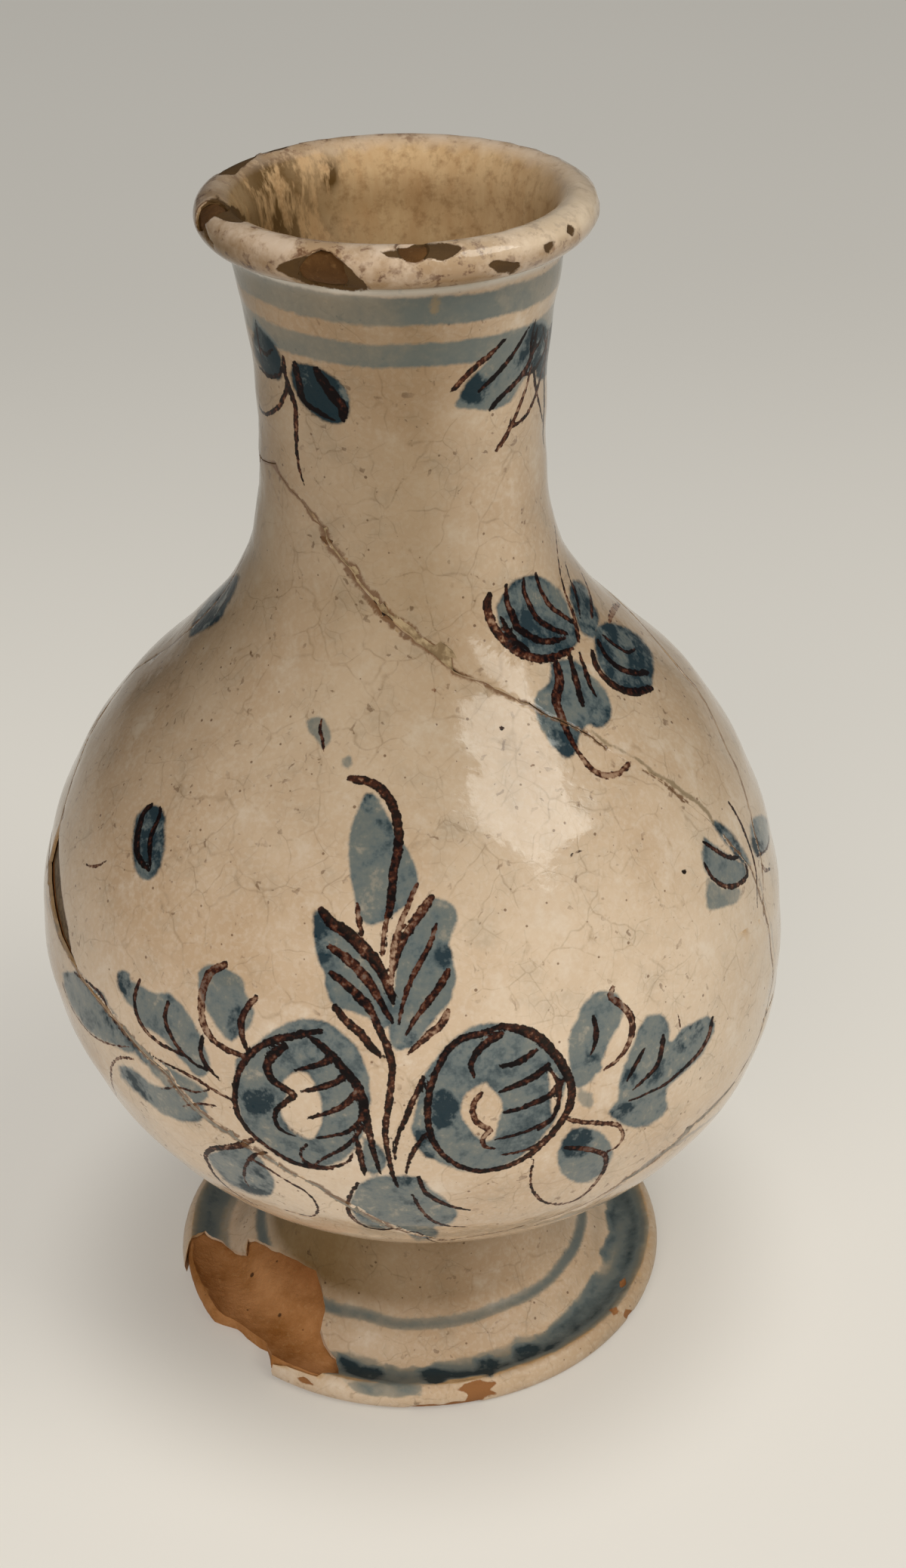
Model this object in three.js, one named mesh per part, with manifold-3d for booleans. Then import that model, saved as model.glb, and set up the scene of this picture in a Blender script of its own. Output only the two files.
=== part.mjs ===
// Tin-glazed earthenware pharmacy jar, mended from sherds.
// Millimetres, +Z up, origin at the centre of the foot on the surface that the jar stands on.
// Azimuth 0 is the painted front (-Y) and grows towards +X.

import * as THREE from 'three';
import { mergeVertices } from 'three/addons/utils/BufferGeometryUtils.js';
import Module from 'manifold-3d';

const wasm = await Module();
wasm.setup();

// Overall form, measured on the finished, glazed surface
const OVERALL_HEIGHT = 220;
const BELLY_RADIUS = 68.4;
const BELLY_CENTRE = 85;
const BOWL_DEPTH = 57.5;
const SHOULDER_RISE = 68;
const SHOULDER_START_RADIUS = 42.4;
const NECK_RADIUS = 24.1;
const NECK_WAIST_HEIGHT = 182;
const THROAT_GLAZE_DEPTH = 34;

// Roundness of the two halves of the belly: 2 is an ellipse, more is fuller
const BOWL_FULLNESS = 2.2;
const SHOULDER_FULLNESS = 1.9;

// Rolled lip
const LIP_ROLL_RADIUS = 3.4;
const RIM_RADIUS = 32.4;

// Pedestal foot: a waisted stem on a dished flange with a raised edge
const STEM_RADIUS = 27;
const STEM_WAIST_HEIGHT = 23;
const STEM_WALL = 5;
const SEAT_RADIUS = 28;
const RIDGE_RADIUS = 34.4;
const RIDGE_HEIGHT = 6.8;
const DISH_RADIUS = 42;
const DISH_HEIGHT = 3;
const DISH_WIDTH = 3;
const FOOT_RADIUS = 48.1;
const FOOT_BEVEL = 0.6;
const FOOT_RING_WIDTH = 10;
const FLANGE_EDGE_HEIGHT = 4.8;
const FLANGE_EDGE_WIDTH = 2.8;

// Layers
const GLAZE = 0.7;
const SEAT_GAP = 0.3;
const CLAY_BELLY = 4.5;
const CLAY_NECK = 3.3;

// Reach of the curves' handles, as shares of each curve's span
const SHOULDER_SWEEP = 0.46;
const NECK_SWEEP = 0.55;
const FLARE_SWEEP = 0.42;
const FLARE_TURN = { across: 0.75, down: 0.28 };
const THROAT_SWEEP = { top: 0.3, bottom: 0.45 };
const STEM_SWEEP = 0.45;
const HOLLOW_SWEEP = 0.45;

// Faceting
const SEGMENTS = 32;
const LIP_ANGLES = [-60, -10, 40, 90, 128, 166];

// Cuts along the cracks
const CUT_MARGIN = 4;
const CUT_OVERRUN = 1.2;

// Cracks, each point [azimuth in degrees, level, open width in mm].
// Levels run up the jar: 0 seat of the bowl, 1 belly centre, 2 foot of the neck, 3 neck waist, 4 lip.
const NECK_FOOT_SHARE = 0.32;
const HAIRLINE = 0.35;
const SHOULDER_FILL_WIDTH = 1.9;
const RIGHT_FILL_WIDTH = 1.7;
const LOWER_FILL_WIDTH = 1.5;

const SHOULDER_CRACK = [
  [-80, 2.8, HAIRLINE],
  [-60, 2.87, HAIRLINE],
  [-40, 2.71, HAIRLINE],
  [-32, 2.62, SHOULDER_FILL_WIDTH],
  [-19, 2.4, SHOULDER_FILL_WIDTH],
  [-10, 2.25, SHOULDER_FILL_WIDTH],
  [1, 2.11, SHOULDER_FILL_WIDTH],
  [13, 1.98, SHOULDER_FILL_WIDTH],
  [22, 1.92, HAIRLINE],
  [33, 1.87, HAIRLINE],
  [44, 1.77, HAIRLINE],
  [54, 1.62, HAIRLINE],
  [62, 1.44, HAIRLINE],
  [66, 1.31, HAIRLINE],
  [67.5, 1.18, HAIRLINE],
  [69, 1.03, HAIRLINE],
  [70, 0.9, HAIRLINE],
  [67, 0.79, HAIRLINE],
];

const RIGHT_CRACK = [
  [67, 0.79, HAIRLINE],
  [62, 0.71, HAIRLINE],
  [56.5, 0.66, RIGHT_FILL_WIDTH],
  [45, 0.62, RIGHT_FILL_WIDTH],
  [32, 0.53, RIGHT_FILL_WIDTH],
  [25, 0.43, HAIRLINE],
  [14, 0.39, HAIRLINE],
  [1, 0.34, HAIRLINE],
];

const LOWER_CRACK = [
  [-59, 1.14, HAIRLINE],
  [-47, 1.08, LOWER_FILL_WIDTH],
  [-38, 1.01, LOWER_FILL_WIDTH],
  [-33, 0.9, LOWER_FILL_WIDTH],
  [-25, 0.82, LOWER_FILL_WIDTH],
  [-16.5, 0.69, LOWER_FILL_WIDTH],
  [-8, 0.5, LOWER_FILL_WIDTH],
  [1, 0.34, HAIRLINE],
];

const LEFT_CRACK = [
  [-80, 2.8, HAIRLINE],
  [-90, 2.3, HAIRLINE],
  [-93, 1.84, HAIRLINE],
  [-101, 1.66, HAIRLINE],
  [-98, 1.57, HAIRLINE],
  [-88, 1.46, HAIRLINE],
  [-81, 1.36, HAIRLINE],
  [-71.5, 1.29, HAIRLINE],
  [-64, 1.21, HAIRLINE],
  [-59, 1.14, HAIRLINE],
];

const BASE_CRACK = [
  [-59, 1.14, HAIRLINE],
  [-67, 1.16, HAIRLINE],
  [-75, 1.2, HAIRLINE],
  [-88, 1.25, HAIRLINE],
  [-112, 1.18, HAIRLINE],
  [-138, 0.98, HAIRLINE],
  [-162, 0.86, HAIRLINE],
  [-184, 0.82, HAIRLINE],
  [-208, 0.72, HAIRLINE],
  [-232, 0.77, HAIRLINE],
  [-256, 0.86, HAIRLINE],
  [-276, 0.8, HAIRLINE],
  [-293, 0.79, HAIRLINE],
];

const NECK_CRACK = [
  [-80, 2.8, HAIRLINE],
  [-104, 2.62, HAIRLINE],
  [-132, 2.5, HAIRLINE],
  [-158, 2.24, HAIRLINE],
  [-182, 2.18, HAIRLINE],
  [-208, 2.06, HAIRLINE],
  [-234, 1.96, HAIRLINE],
  [-255, 1.81, HAIRLINE],
  [-270, 1.68, HAIRLINE],
  [-280, 1.52, HAIRLINE],
  [-287, 1.34, HAIRLINE],
  [-292.5, 1.18, HAIRLINE],
];

const BACK_CRACK = [
  [-182, 2.18, HAIRLINE],
  [-190, 1.84, HAIRLINE],
  [-183, 1.5, HAIRLINE],
  [-192, 1.2, HAIRLINE],
  [-184, 0.82, HAIRLINE],
];

const GAP_END_CRACK = [
  [-81, 1.36, HAIRLINE],
  [-82, 1.225, HAIRLINE],
];

const CRACKS = [
  SHOULDER_CRACK, RIGHT_CRACK, LOWER_CRACK, LEFT_CRACK, BASE_CRACK, NECK_CRACK, BACK_CRACK, GAP_END_CRACK,
];

// A place well inside each sherd, [azimuth, level]
const SHERDS = {
  neck: [20, 3],
  front: [0, 1.2],
  left: [-140, 1.6],
  back: [130, 1.4],
  base: [180, 0.4],
};
const LEFT_GAP = [-73, 1.24];

// Glaze lost from the foot, seen from above: [azimuth, share of the way from the stem to the edge]
const GLAZE_LOSS = [
  [-87, 0.91], [-91, 0.8], [-86, 0.62], [-76, 0.455], [-81, 0.39], [-74, 0.26], [-58, 0.15],
  [-47, 0.115], [-41, 0.18], [-34, 0.33], [-33, 0.475], [-24, 0.645], [-20.5, 0.855], [-25, 0.96],
  [-37, 0.99], [-41, 1.2], [-72, 1.2], [-80, 0.99],
];
const GLAZE_LOSS_TOP = 15;

// Edge of the flange broken away, clay and all, in the same measures
const FLANGE_BREAK = [
  [-68, 1.02], [-61, 0.94], [-53, 0.815], [-44, 0.805], [-39, 0.91], [-37, 1.02], [-40, 1.33], [-62, 1.33],
];

// Chips in the glaze of the lip: [azimuth, angle round the roll, size as a share of the roll]
const LIP_CHIPS = [
  [-21, -20, 1.24],
  [-74, 60, 1.06],
  [4, 75, 0.76],
];

const CLAY_COLOUR = '#a8683a';
const GLAZE_COLOUR = '#d9cbb4';
const FILL_COLOUR = '#a39884';

// Sizes that follow from the ones above
const COAT = GLAZE + SEAT_GAP;
const CUT_DEPTH = 2.6 * (COAT + CLAY_BELLY);
const THROAT_RADIUS = NECK_RADIUS - COAT - CLAY_NECK - COAT;
const LIP_HEIGHT = OVERALL_HEIGHT - LIP_ROLL_RADIUS;
const LIP_CENTRE_RADIUS = RIM_RADIUS - LIP_ROLL_RADIUS;
const FOOT_HOLLOW_RADIUS = STEM_RADIUS - COAT - STEM_WALL;

const { degToRad: radians, radToDeg: degrees, lerp } = THREE.MathUtils;
const vec = (radius, height) => new THREE.Vector2(radius, height);

// The belly's outline is two quarters of a superellipse that meet at its widest point
function bulgePoint(depth, fullness, angle) {
  const across = Math.max(Math.cos(angle), 0) ** (2 / fullness);
  const up = Math.sin(angle) ** (2 / fullness);
  return vec(BELLY_RADIUS * across, BELLY_CENTRE + depth * up);
}

function bulgeAngle(fullness, radius) {
  return Math.acos((radius / BELLY_RADIUS) ** (fullness / 2));
}

function bulge(depth, fullness, from, to, steps) {
  return Array.from({ length: steps + 1 }, (_, i) => bulgePoint(depth, fullness, lerp(from, to, i / steps)));
}

const SEAT_ANGLE = bulgeAngle(BOWL_FULLNESS, SEAT_RADIUS);
const SHOULDER_ANGLE = bulgeAngle(SHOULDER_FULLNESS, SHOULDER_START_RADIUS);
const SEAT_HEIGHT = bulgePoint(-BOWL_DEPTH, BOWL_FULLNESS, SEAT_ANGLE).y;
const SHOULDER_START_HEIGHT = bulgePoint(SHOULDER_RISE, SHOULDER_FULLNESS, SHOULDER_ANGLE).y;
const NECK_FOOT_HEIGHT = lerp(SHOULDER_START_HEIGHT, NECK_WAIST_HEIGHT, NECK_FOOT_SHARE);
const LEVELS = [SEAT_HEIGHT, BELLY_CENTRE, NECK_FOOT_HEIGHT, NECK_WAIST_HEIGHT, LIP_HEIGHT];

function levelHeight(level) {
  const below = Math.min(Math.floor(level), LEVELS.length - 2);
  return lerp(LEVELS[below], LEVELS[below + 1], level - below);
}

function bezier(from, out, into, to, steps) {
  return new THREE.CubicBezierCurve(from, out, into, to).getPoints(steps);
}

// Outline of the finished surface, in stretches
const underside = () => bulge(-BOWL_DEPTH, BOWL_FULLNESS, Math.PI / 2, SEAT_ANGLE, 2).slice(0, 2);
const bowl = () => bulge(-BOWL_DEPTH, BOWL_FULLNESS, SEAT_ANGLE, 0, 7);

function shoulderAndNeck() {
  const rise = bulge(SHOULDER_RISE, SHOULDER_FULLNESS, 0, SHOULDER_ANGLE, 4);
  const start = rise[rise.length - 1];
  const slope = start.clone().sub(rise[rise.length - 2]).normalize();
  const span = NECK_WAIST_HEIGHT - SHOULDER_START_HEIGHT;
  const waist = vec(NECK_RADIUS, NECK_WAIST_HEIGHT);
  const out = start.clone().addScaledVector(slope, span * SHOULDER_SWEEP);
  const into = vec(NECK_RADIUS, NECK_WAIST_HEIGHT - span * NECK_SWEEP);
  return [...rise.slice(1), ...bezier(start, out, into, waist, 5).slice(1)];
}

function flare() {
  const waist = vec(NECK_RADIUS, NECK_WAIST_HEIGHT);
  const top = vec(LIP_CENTRE_RADIUS - SEAT_GAP, LIP_HEIGHT - LIP_ROLL_RADIUS - SEAT_GAP);
  const span = top.y - waist.y;
  const out = vec(waist.x, waist.y + span * FLARE_SWEEP);
  const into = vec(lerp(top.x, waist.x, FLARE_TURN.across), top.y - span * FLARE_TURN.down);
  return bezier(waist, out, into, top, 3).slice(1);
}

function lip() {
  return LIP_ANGLES.map((angle) => vec(
    LIP_CENTRE_RADIUS + LIP_ROLL_RADIUS * Math.cos(radians(angle)),
    LIP_HEIGHT + LIP_ROLL_RADIUS * Math.sin(radians(angle)),
  ));
}

function throat() {
  const start = lip().pop();
  const end = vec(THROAT_RADIUS, OVERALL_HEIGHT - THROAT_GLAZE_DEPTH);
  const span = start.y - end.y;
  const out = vec(start.x - GLAZE, start.y - span * THROAT_SWEEP.top);
  const into = vec(end.x, end.y + span * THROAT_SWEEP.bottom);
  return bezier(start, out, into, end, 3).slice(1);
}

const bodyOutline = () => [...bowl(), ...shoulderAndNeck()];
const glazedOutline = () => [...bodyOutline(), ...flare(), ...lip(), ...throat()];

// The foot from the edge that it stands on up to the seat of the bowl
function footOutline() {
  const edge = [
    vec(FOOT_RADIUS - FOOT_BEVEL, 0),
    vec(FOOT_RADIUS, FOOT_BEVEL),
    vec(FOOT_RADIUS, FLANGE_EDGE_HEIGHT - FOOT_BEVEL * 2),
    vec(FOOT_RADIUS - FLANGE_EDGE_WIDTH / 2, FLANGE_EDGE_HEIGHT),
    vec(FOOT_RADIUS - FLANGE_EDGE_WIDTH, FLANGE_EDGE_HEIGHT - FOOT_BEVEL),
  ];
  const dish = [vec(DISH_RADIUS, DISH_HEIGHT), vec(DISH_RADIUS - DISH_WIDTH, DISH_HEIGHT)];
  const ridge = vec(RIDGE_RADIUS, RIDGE_HEIGHT);
  const waist = vec(STEM_RADIUS, STEM_WAIST_HEIGHT);
  const out = vec(lerp(RIDGE_RADIUS, STEM_RADIUS, STEM_SWEEP), RIDGE_HEIGHT);
  const into = vec(STEM_RADIUS, lerp(STEM_WAIST_HEIGHT, RIDGE_HEIGHT, STEM_SWEEP));
  return [...edge, ...dish, ...bezier(ridge, out, into, waist, 5), vec(SEAT_RADIUS, SEAT_HEIGHT)];
}

// Each point moved into the wall, square to the outline
function inset(points, depth) {
  return points.map((point, i) => {
    const ahead = points[Math.min(i + 1, points.length - 1)];
    const behind = points[Math.max(i - 1, 0)];
    const along = ahead.clone().sub(behind).normalize();
    const d = typeof depth === 'number' ? depth : depth(point.y);
    return vec(point.x - along.y * d, point.y + along.x * d);
  });
}

// Depth of the clay's inner face, which thins towards the neck
function wallDepth(height) {
  const share = THREE.MathUtils.smoothstep(height, BELLY_CENTRE, NECK_WAIST_HEIGHT);
  return COAT + lerp(CLAY_BELLY, CLAY_NECK, share);
}

// The same outline, started on the jar's axis
function fromAxis(points) {
  return [vec(0, points[0].y), ...points.slice(1)];
}

// Closed bodies and cuts
function manifoldOf(position, triangles) {
  return new wasm.Manifold(new wasm.Mesh({ numProp: 3, vertProperties: position, triVerts: triangles }));
}

// A closed geometry as a solid with its faces pointing out
function solidOf(geometry) {
  const bare = geometry.clone();
  bare.deleteAttribute('normal');
  bare.deleteAttribute('uv');
  const merged = mergeVertices(bare, 1e-4);
  const position = new Float32Array(merged.attributes.position.array);
  const index = merged.index.array;
  const kept = [];
  for (let i = 0; i < index.length; i += 3) {
    const [a, b, c] = [index[i], index[i + 1], index[i + 2]];
    if (a !== b && b !== c && c !== a) kept.push(a, b, c);
  }
  const solid = manifoldOf(position, new Uint32Array(kept));
  return solid.volume() < 0 ? manifoldOf(position, new Uint32Array(kept.reverse())) : solid;
}

// A body turned from an outline that starts and ends on the axis, or closes on itself
function turned(points) {
  const loop = points[0].x === 0 ? points : [...points, points[0]];
  return solidOf(new THREE.LatheGeometry(loop, SEGMENTS).rotateX(Math.PI / 2));
}

function onJar(azimuth, radius, height) {
  const a = radians(azimuth);
  return [radius * Math.sin(a), -radius * Math.cos(a), height];
}

// Radius of the finished surface at a height between the seat and the lip
function surfaceRadius(height) {
  const points = glazedOutline();
  const above = Math.max(points.findIndex((point) => point.y >= height), 1);
  const [low, high] = [points[above - 1], points[above]];
  return lerp(low.x, high.x, (height - low.y) / (high.y - low.y));
}

// Places of a crack's points, each with the direction in which the crack runs there
function crackPlaces(points) {
  const places = points.map(([azimuth, level, width]) => {
    const height = levelHeight(level);
    return { azimuth, height, radius: surfaceRadius(height), width };
  });
  return places.map((place, i) => {
    const ahead = places[Math.min(i + 1, places.length - 1)];
    const behind = places[Math.max(i - 1, 0)];
    const run = radians(ahead.azimuth - behind.azimuth) * place.radius;
    const rise = ahead.height - behind.height;
    const length = Math.hypot(run, rise);
    return { ...place, run: run / length, rise: rise / length };
  });
}

function movedAlong(place, distance) {
  const azimuth = place.azimuth + degrees(distance * place.run / place.radius);
  return { ...place, azimuth, height: place.height + distance * place.rise };
}

// Inner and outer point on both sides of a crack at one place
function crackSection(place, slack) {
  const half = place.width / 2 - slack;
  return [-half, half].flatMap((side) => {
    const azimuth = place.azimuth - degrees(side * place.rise / place.radius);
    const height = place.height + side * place.run;
    return [
      ...onJar(azimuth, place.radius - CUT_DEPTH, height),
      ...onJar(azimuth, place.radius + CUT_MARGIN, height),
    ];
  });
}

// A wall that follows a crack from inside the jar to outside it, as wide as the crack stands open.
// It overruns both ends, so that two cracks that meet cut right through.
function crackWall(points, overrun, slack) {
  const places = crackPlaces(points);
  const last = places.length - 1;
  places[0] = movedAlong(places[0], -overrun);
  places[last] = movedAlong(places[last], overrun);
  const index = [];
  const quad = (a, b, c, d) => index.push(a, b, c, a, c, d);
  const end = last * 4;
  quad(0, 1, 3, 2);
  for (let i = 0; i < end; i += 4) {
    quad(i, i + 2, i + 6, i + 4);
    quad(i + 3, i + 7, i + 6, i + 2);
    quad(i + 3, i + 1, i + 5, i + 7);
    quad(i + 1, i, i + 4, i + 5);
  }
  quad(end, end + 2, end + 3, end + 1);
  const geometry = new THREE.BufferGeometry();
  const position = places.flatMap((place) => crackSection(place, slack));
  geometry.setAttribute('position', new THREE.Float32BufferAttribute(position, 3));
  geometry.setIndex(index);
  return solidOf(geometry);
}

function broken(body) {
  return CRACKS.reduce((rest, crack) => rest.subtract(crackWall(crack, CUT_OVERRUN, 0)), body);
}

// Lists of the triangles that hang together, edge to edge
function islands(triVerts) {
  const count = triVerts.length / 3;
  const leader = Array.from({ length: count }, (_, i) => i);
  const lead = (triangle) => {
    let at = triangle;
    while (leader[at] !== at) at = leader[at];
    leader[triangle] = at;
    return at;
  };
  const edges = new Map();
  for (let corner = 0; corner < count * 3; corner += 1) {
    const triangle = Math.floor(corner / 3);
    const next = corner % 3 === 2 ? corner - 2 : corner + 1;
    const key = [triVerts[corner], triVerts[next]].sort((a, b) => a - b).join();
    if (edges.has(key)) leader[lead(triangle)] = lead(edges.get(key));
    edges.set(key, triangle);
  }
  return [...Map.groupBy(leader.keys(), lead).values()];
}

// Loose pieces of a cut body, as one geometry each
function looseParts(body) {
  const { vertProperties, triVerts } = body.getMesh();
  return islands(triVerts).map((triangles) => {
    const geometry = new THREE.BufferGeometry();
    geometry.setAttribute('position', new THREE.Float32BufferAttribute(vertProperties, 3));
    geometry.setIndex(triangles.flatMap((i) => [...triVerts.slice(i * 3, i * 3 + 3)]));
    return geometry.toNonIndexed();
  });
}

function distanceTo(geometry, place) {
  const at = new THREE.Vector3();
  const triangle = new THREE.Triangle();
  const position = geometry.attributes.position;
  let nearest = Infinity;
  for (let i = 0; i < position.count; i += 3) {
    triangle.setFromAttributeAndIndices(position, i, i + 1, i + 2);
    triangle.closestPointToPoint(place, at);
    nearest = Math.min(nearest, at.distanceTo(place));
  }
  return nearest;
}

function partAt(parts, [azimuth, level]) {
  const height = levelHeight(level);
  const place = new THREE.Vector3(...onJar(azimuth, surfaceRadius(height), height));
  const ranked = parts.map((part) => [distanceTo(part, place), part]);
  return ranked.sort((a, b) => a[0] - b[0])[0][1];
}

// The pot without its foot, before it broke: clay, glaze, and the two together
function clayPot() {
  const outside = inset([...underside(), ...glazedOutline()], COAT);
  const inside = inset([...underside(), ...bodyOutline()], wallDepth);
  return turned([...fromAxis(outside), ...fromAxis(inside).reverse()]);
}

function glazeCoat() {
  return turned([...glazedOutline(), ...inset(glazedOutline(), GLAZE).reverse()]);
}

function wholeWall() {
  return turned([...bodyOutline(), ...inset(bodyOutline(), wallDepth).reverse()]);
}

// The foot's top under the bowl that rests on it, from the outside inwards
function footSeat() {
  const outer = bulgeAngle(BOWL_FULLNESS, SEAT_RADIUS - COAT - SEAT_GAP);
  const inner = bulgeAngle(BOWL_FULLNESS, FOOT_HOLLOW_RADIUS);
  return inset(bulge(-BOWL_DEPTH, BOWL_FULLNESS, inner, outer, 2), GLAZE).reverse();
}

function footHollow() {
  const top = vec(FOOT_HOLLOW_RADIUS, STEM_WAIST_HEIGHT - STEM_WALL);
  const ring = vec(FOOT_RADIUS - COAT - FOOT_RING_WIDTH, 0);
  const out = vec(top.x, top.y * HOLLOW_SWEEP);
  const into = vec(lerp(ring.x, top.x, HOLLOW_SWEEP), top.y * HOLLOW_SWEEP / 2);
  return bezier(top, out, into, ring, 4);
}

function footClay() {
  const outside = inset(footOutline().slice(0, -1), COAT);
  outside[0].y = 0;
  return turned([...outside, ...footSeat(), ...footHollow()]);
}

function footGlaze() {
  const layers = [footOutline(), inset(footOutline(), GLAZE)];
  for (const layer of layers) {
    layer[0].y = SEAT_GAP;
    layer[layer.length - 1].y = SEAT_HEIGHT - SEAT_GAP;
  }
  return turned([...layers[0], ...layers[1].reverse()]);
}

// An upright block over an outline on the foot, seen from above
function blockOver(outline, bottom, top) {
  const shape = new THREE.Shape(outline.map(([azimuth, share]) => {
    const [x, y] = onJar(azimuth, lerp(STEM_RADIUS, FOOT_RADIUS, share), 0);
    return vec(x, y);
  }));
  const block = new THREE.ExtrudeGeometry(shape, { depth: top - bottom, bevelEnabled: false });
  return solidOf(block.translate(0, 0, bottom));
}

function lipChip([azimuth, roll, size]) {
  const a = radians(roll);
  const radius = LIP_CENTRE_RADIUS + LIP_ROLL_RADIUS * Math.cos(a);
  const place = onJar(azimuth, radius, LIP_HEIGHT + LIP_ROLL_RADIUS * Math.sin(a));
  return solidOf(new THREE.IcosahedronGeometry(LIP_ROLL_RADIUS * size, 1).translate(...place));
}

// Filler in the stretch of a crack that stands open
function filler(crack, width) {
  const stretch = crack.filter((point) => point[2] === width);
  return looseParts(wholeWall().intersect(crackWall(stretch, 0, SEAT_GAP)))[0];
}

function named(name, geometry, colour, roughness) {
  const material = new THREE.MeshStandardMaterial({ color: colour, roughness, metalness: 0 });
  const mesh = new THREE.Mesh(geometry, material);
  mesh.name = name;
  return mesh;
}

const clay = (name, geometry) => named(name, geometry, CLAY_COLOUR, 0.85);
const glaze = (name, geometry) => named(name, geometry, GLAZE_COLOUR, 0.35);
const fill = (name, geometry) => named(name, geometry, FILL_COLOUR, 0.9);

const jar = new THREE.Group();

// Body: five sherds, each with its coat of glaze
const clayParts = looseParts(broken(clayPot()));
const chippedCoat = LIP_CHIPS.reduce((coat, chip) => coat.subtract(lipChip(chip)), glazeCoat());
const glazeParts = looseParts(broken(chippedCoat));
for (const [name, place] of Object.entries(SHERDS)) {
  jar.add(clay(`${name}_sherd`, partAt(clayParts, place)));
  jar.add(glaze(`${name}_glaze`, partAt(glazeParts, place)));
}

// Foot, with its lost glaze and its broken edge
const flangeBreak = blockOver(FLANGE_BREAK, -1, FLANGE_EDGE_HEIGHT + 1);
const glazeLoss = blockOver(GLAZE_LOSS, -1, GLAZE_LOSS_TOP);
jar.add(clay('foot', looseParts(footClay().subtract(flangeBreak))[0]));
jar.add(glaze('foot_glaze', looseParts(footGlaze().subtract(glazeLoss).subtract(flangeBreak))[0]));

// Conservation filler
jar.add(fill('shoulder_fill', filler(SHOULDER_CRACK, SHOULDER_FILL_WIDTH)));
jar.add(fill('right_flank_fill', filler(RIGHT_CRACK, RIGHT_FILL_WIDTH)));
jar.add(fill('lower_left_fill', filler(LOWER_CRACK, LOWER_FILL_WIDTH)));
jar.add(fill('left_gap_fill', partAt(clayParts, LEFT_GAP)));

export default jar;
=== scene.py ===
"""Ointment jar: a tin-glazed earthenware pharmacy bottle, mended from sherds, dressed over its CAD frame."""
import logging
import math
from collections.abc import Sequence
from dataclasses import dataclass, field
from enum import Enum

import bpy
import numpy as np
from mathutils import Matrix, Vector
from mathutils.kdtree import KDTree


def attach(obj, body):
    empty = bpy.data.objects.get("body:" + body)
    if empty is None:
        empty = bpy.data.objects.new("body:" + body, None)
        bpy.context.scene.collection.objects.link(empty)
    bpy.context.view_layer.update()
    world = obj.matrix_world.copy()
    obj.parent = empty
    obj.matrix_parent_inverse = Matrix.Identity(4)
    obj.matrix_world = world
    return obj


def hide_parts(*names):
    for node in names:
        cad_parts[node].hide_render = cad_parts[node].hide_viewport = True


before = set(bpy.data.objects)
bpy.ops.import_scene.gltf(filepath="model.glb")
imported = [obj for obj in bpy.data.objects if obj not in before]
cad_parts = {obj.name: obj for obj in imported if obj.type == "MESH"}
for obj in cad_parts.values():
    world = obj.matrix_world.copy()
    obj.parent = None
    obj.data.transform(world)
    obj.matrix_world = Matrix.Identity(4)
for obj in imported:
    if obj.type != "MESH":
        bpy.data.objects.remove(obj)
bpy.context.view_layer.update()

Socket = bpy.types.NodeSocket
LOG = logging.getLogger("ointment_jar")
MM = 0.001
# The distance, in millimetres, that stands for "nowhere near".
FAR = 9.0
# Pixels of the photograph to a millimetre of the jar.
LIP_SCALE, BELLY_SCALE, FOOT_SCALE = 8.3, 7.05, 6.5
# Heights, in millimetres, at which the roll of the lip and the bowl of the belly start.
LIP_FROM, BELLY_FROM = 211.0, 34.0


def linear(code: str) -> tuple[float, float, float, float]:
    """Turn an sRGB hex colour into the linear one that Blender mixes.

    Args:
        code: the colour as "#rrggbb".

    Returns:
        Linear red, green and blue, and a full fourth value.
    """
    parts = [int(code[i:i + 2], 16) / 255 for i in (1, 3, 5)]
    red, green, blue = (c / 12.92 if c <= 0.04045 else ((c + 0.055) / 1.055) ** 2.4 for c in parts)
    return red, green, blue, 1.0


def read_points(text: str) -> np.ndarray:
    """Read "x,y x,y" into rows of two numbers."""
    return np.array([[float(v) for v in pair.split(",")] for pair in text.split()])


def bend_between(t: np.ndarray, ends: tuple[np.ndarray, np.ndarray], span: float | np.ndarray,
                 slopes: tuple[np.ndarray, np.ndarray]) -> np.ndarray:
    """Follow the smooth curve between two points.

    Args:
        t: how far along, from 0 to 1.
        ends: the two points.
        span: how far apart they are.
        slopes: the curve's direction at each of them.

    Returns:
        Points on the curve.
    """
    return ((1 + 2 * t) * (1 - t) ** 2 * ends[0] + t * (1 - t) ** 2 * span * slopes[0]
            + t * t * (3 - 2 * t) * ends[1] + t * t * (t - 1) * span * slopes[1])


def curve_through(points: np.ndarray, step: float) -> tuple[np.ndarray, np.ndarray]:
    """Draw a smooth curve through given points.

    Args:
        points: the points, in order.
        step: about how far apart the drawn points are.

    Returns:
        The drawn points, and how far along the curve each one is, from 0 to 1.
    """
    spans = np.maximum(np.linalg.norm(np.diff(points, axis=0), axis=1), 1e-6)
    along = np.concatenate([[0.0], np.cumsum(spans)])
    slopes = np.gradient(points, along, axis=0)
    count = max(int(along[-1] / step) + 2, 3)
    place = np.linspace(0, along[-1], count)
    index = np.clip(np.searchsorted(along, place, side="right") - 1, 0, len(spans) - 1)
    t = ((place - along[index]) / spans[index])[:, None]
    drawn = bend_between(t, (points[index], points[index + 1]), spans[index][:, None],
                         (slopes[index], slopes[index + 1]))
    return drawn, place / along[-1]


def ramp(value: np.ndarray, start: float, width: float) -> np.ndarray:
    """Rise from 0 at the start to 1 a width further on, or, with a negative width, further back."""
    return np.clip((value - start) / width, 0, 1)


def bell(value: np.ndarray, middle: float, width: float) -> np.ndarray:
    """Rise to 1 at the middle and fade on both sides of it."""
    return np.exp(-((value - middle) / width) ** 2)


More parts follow.
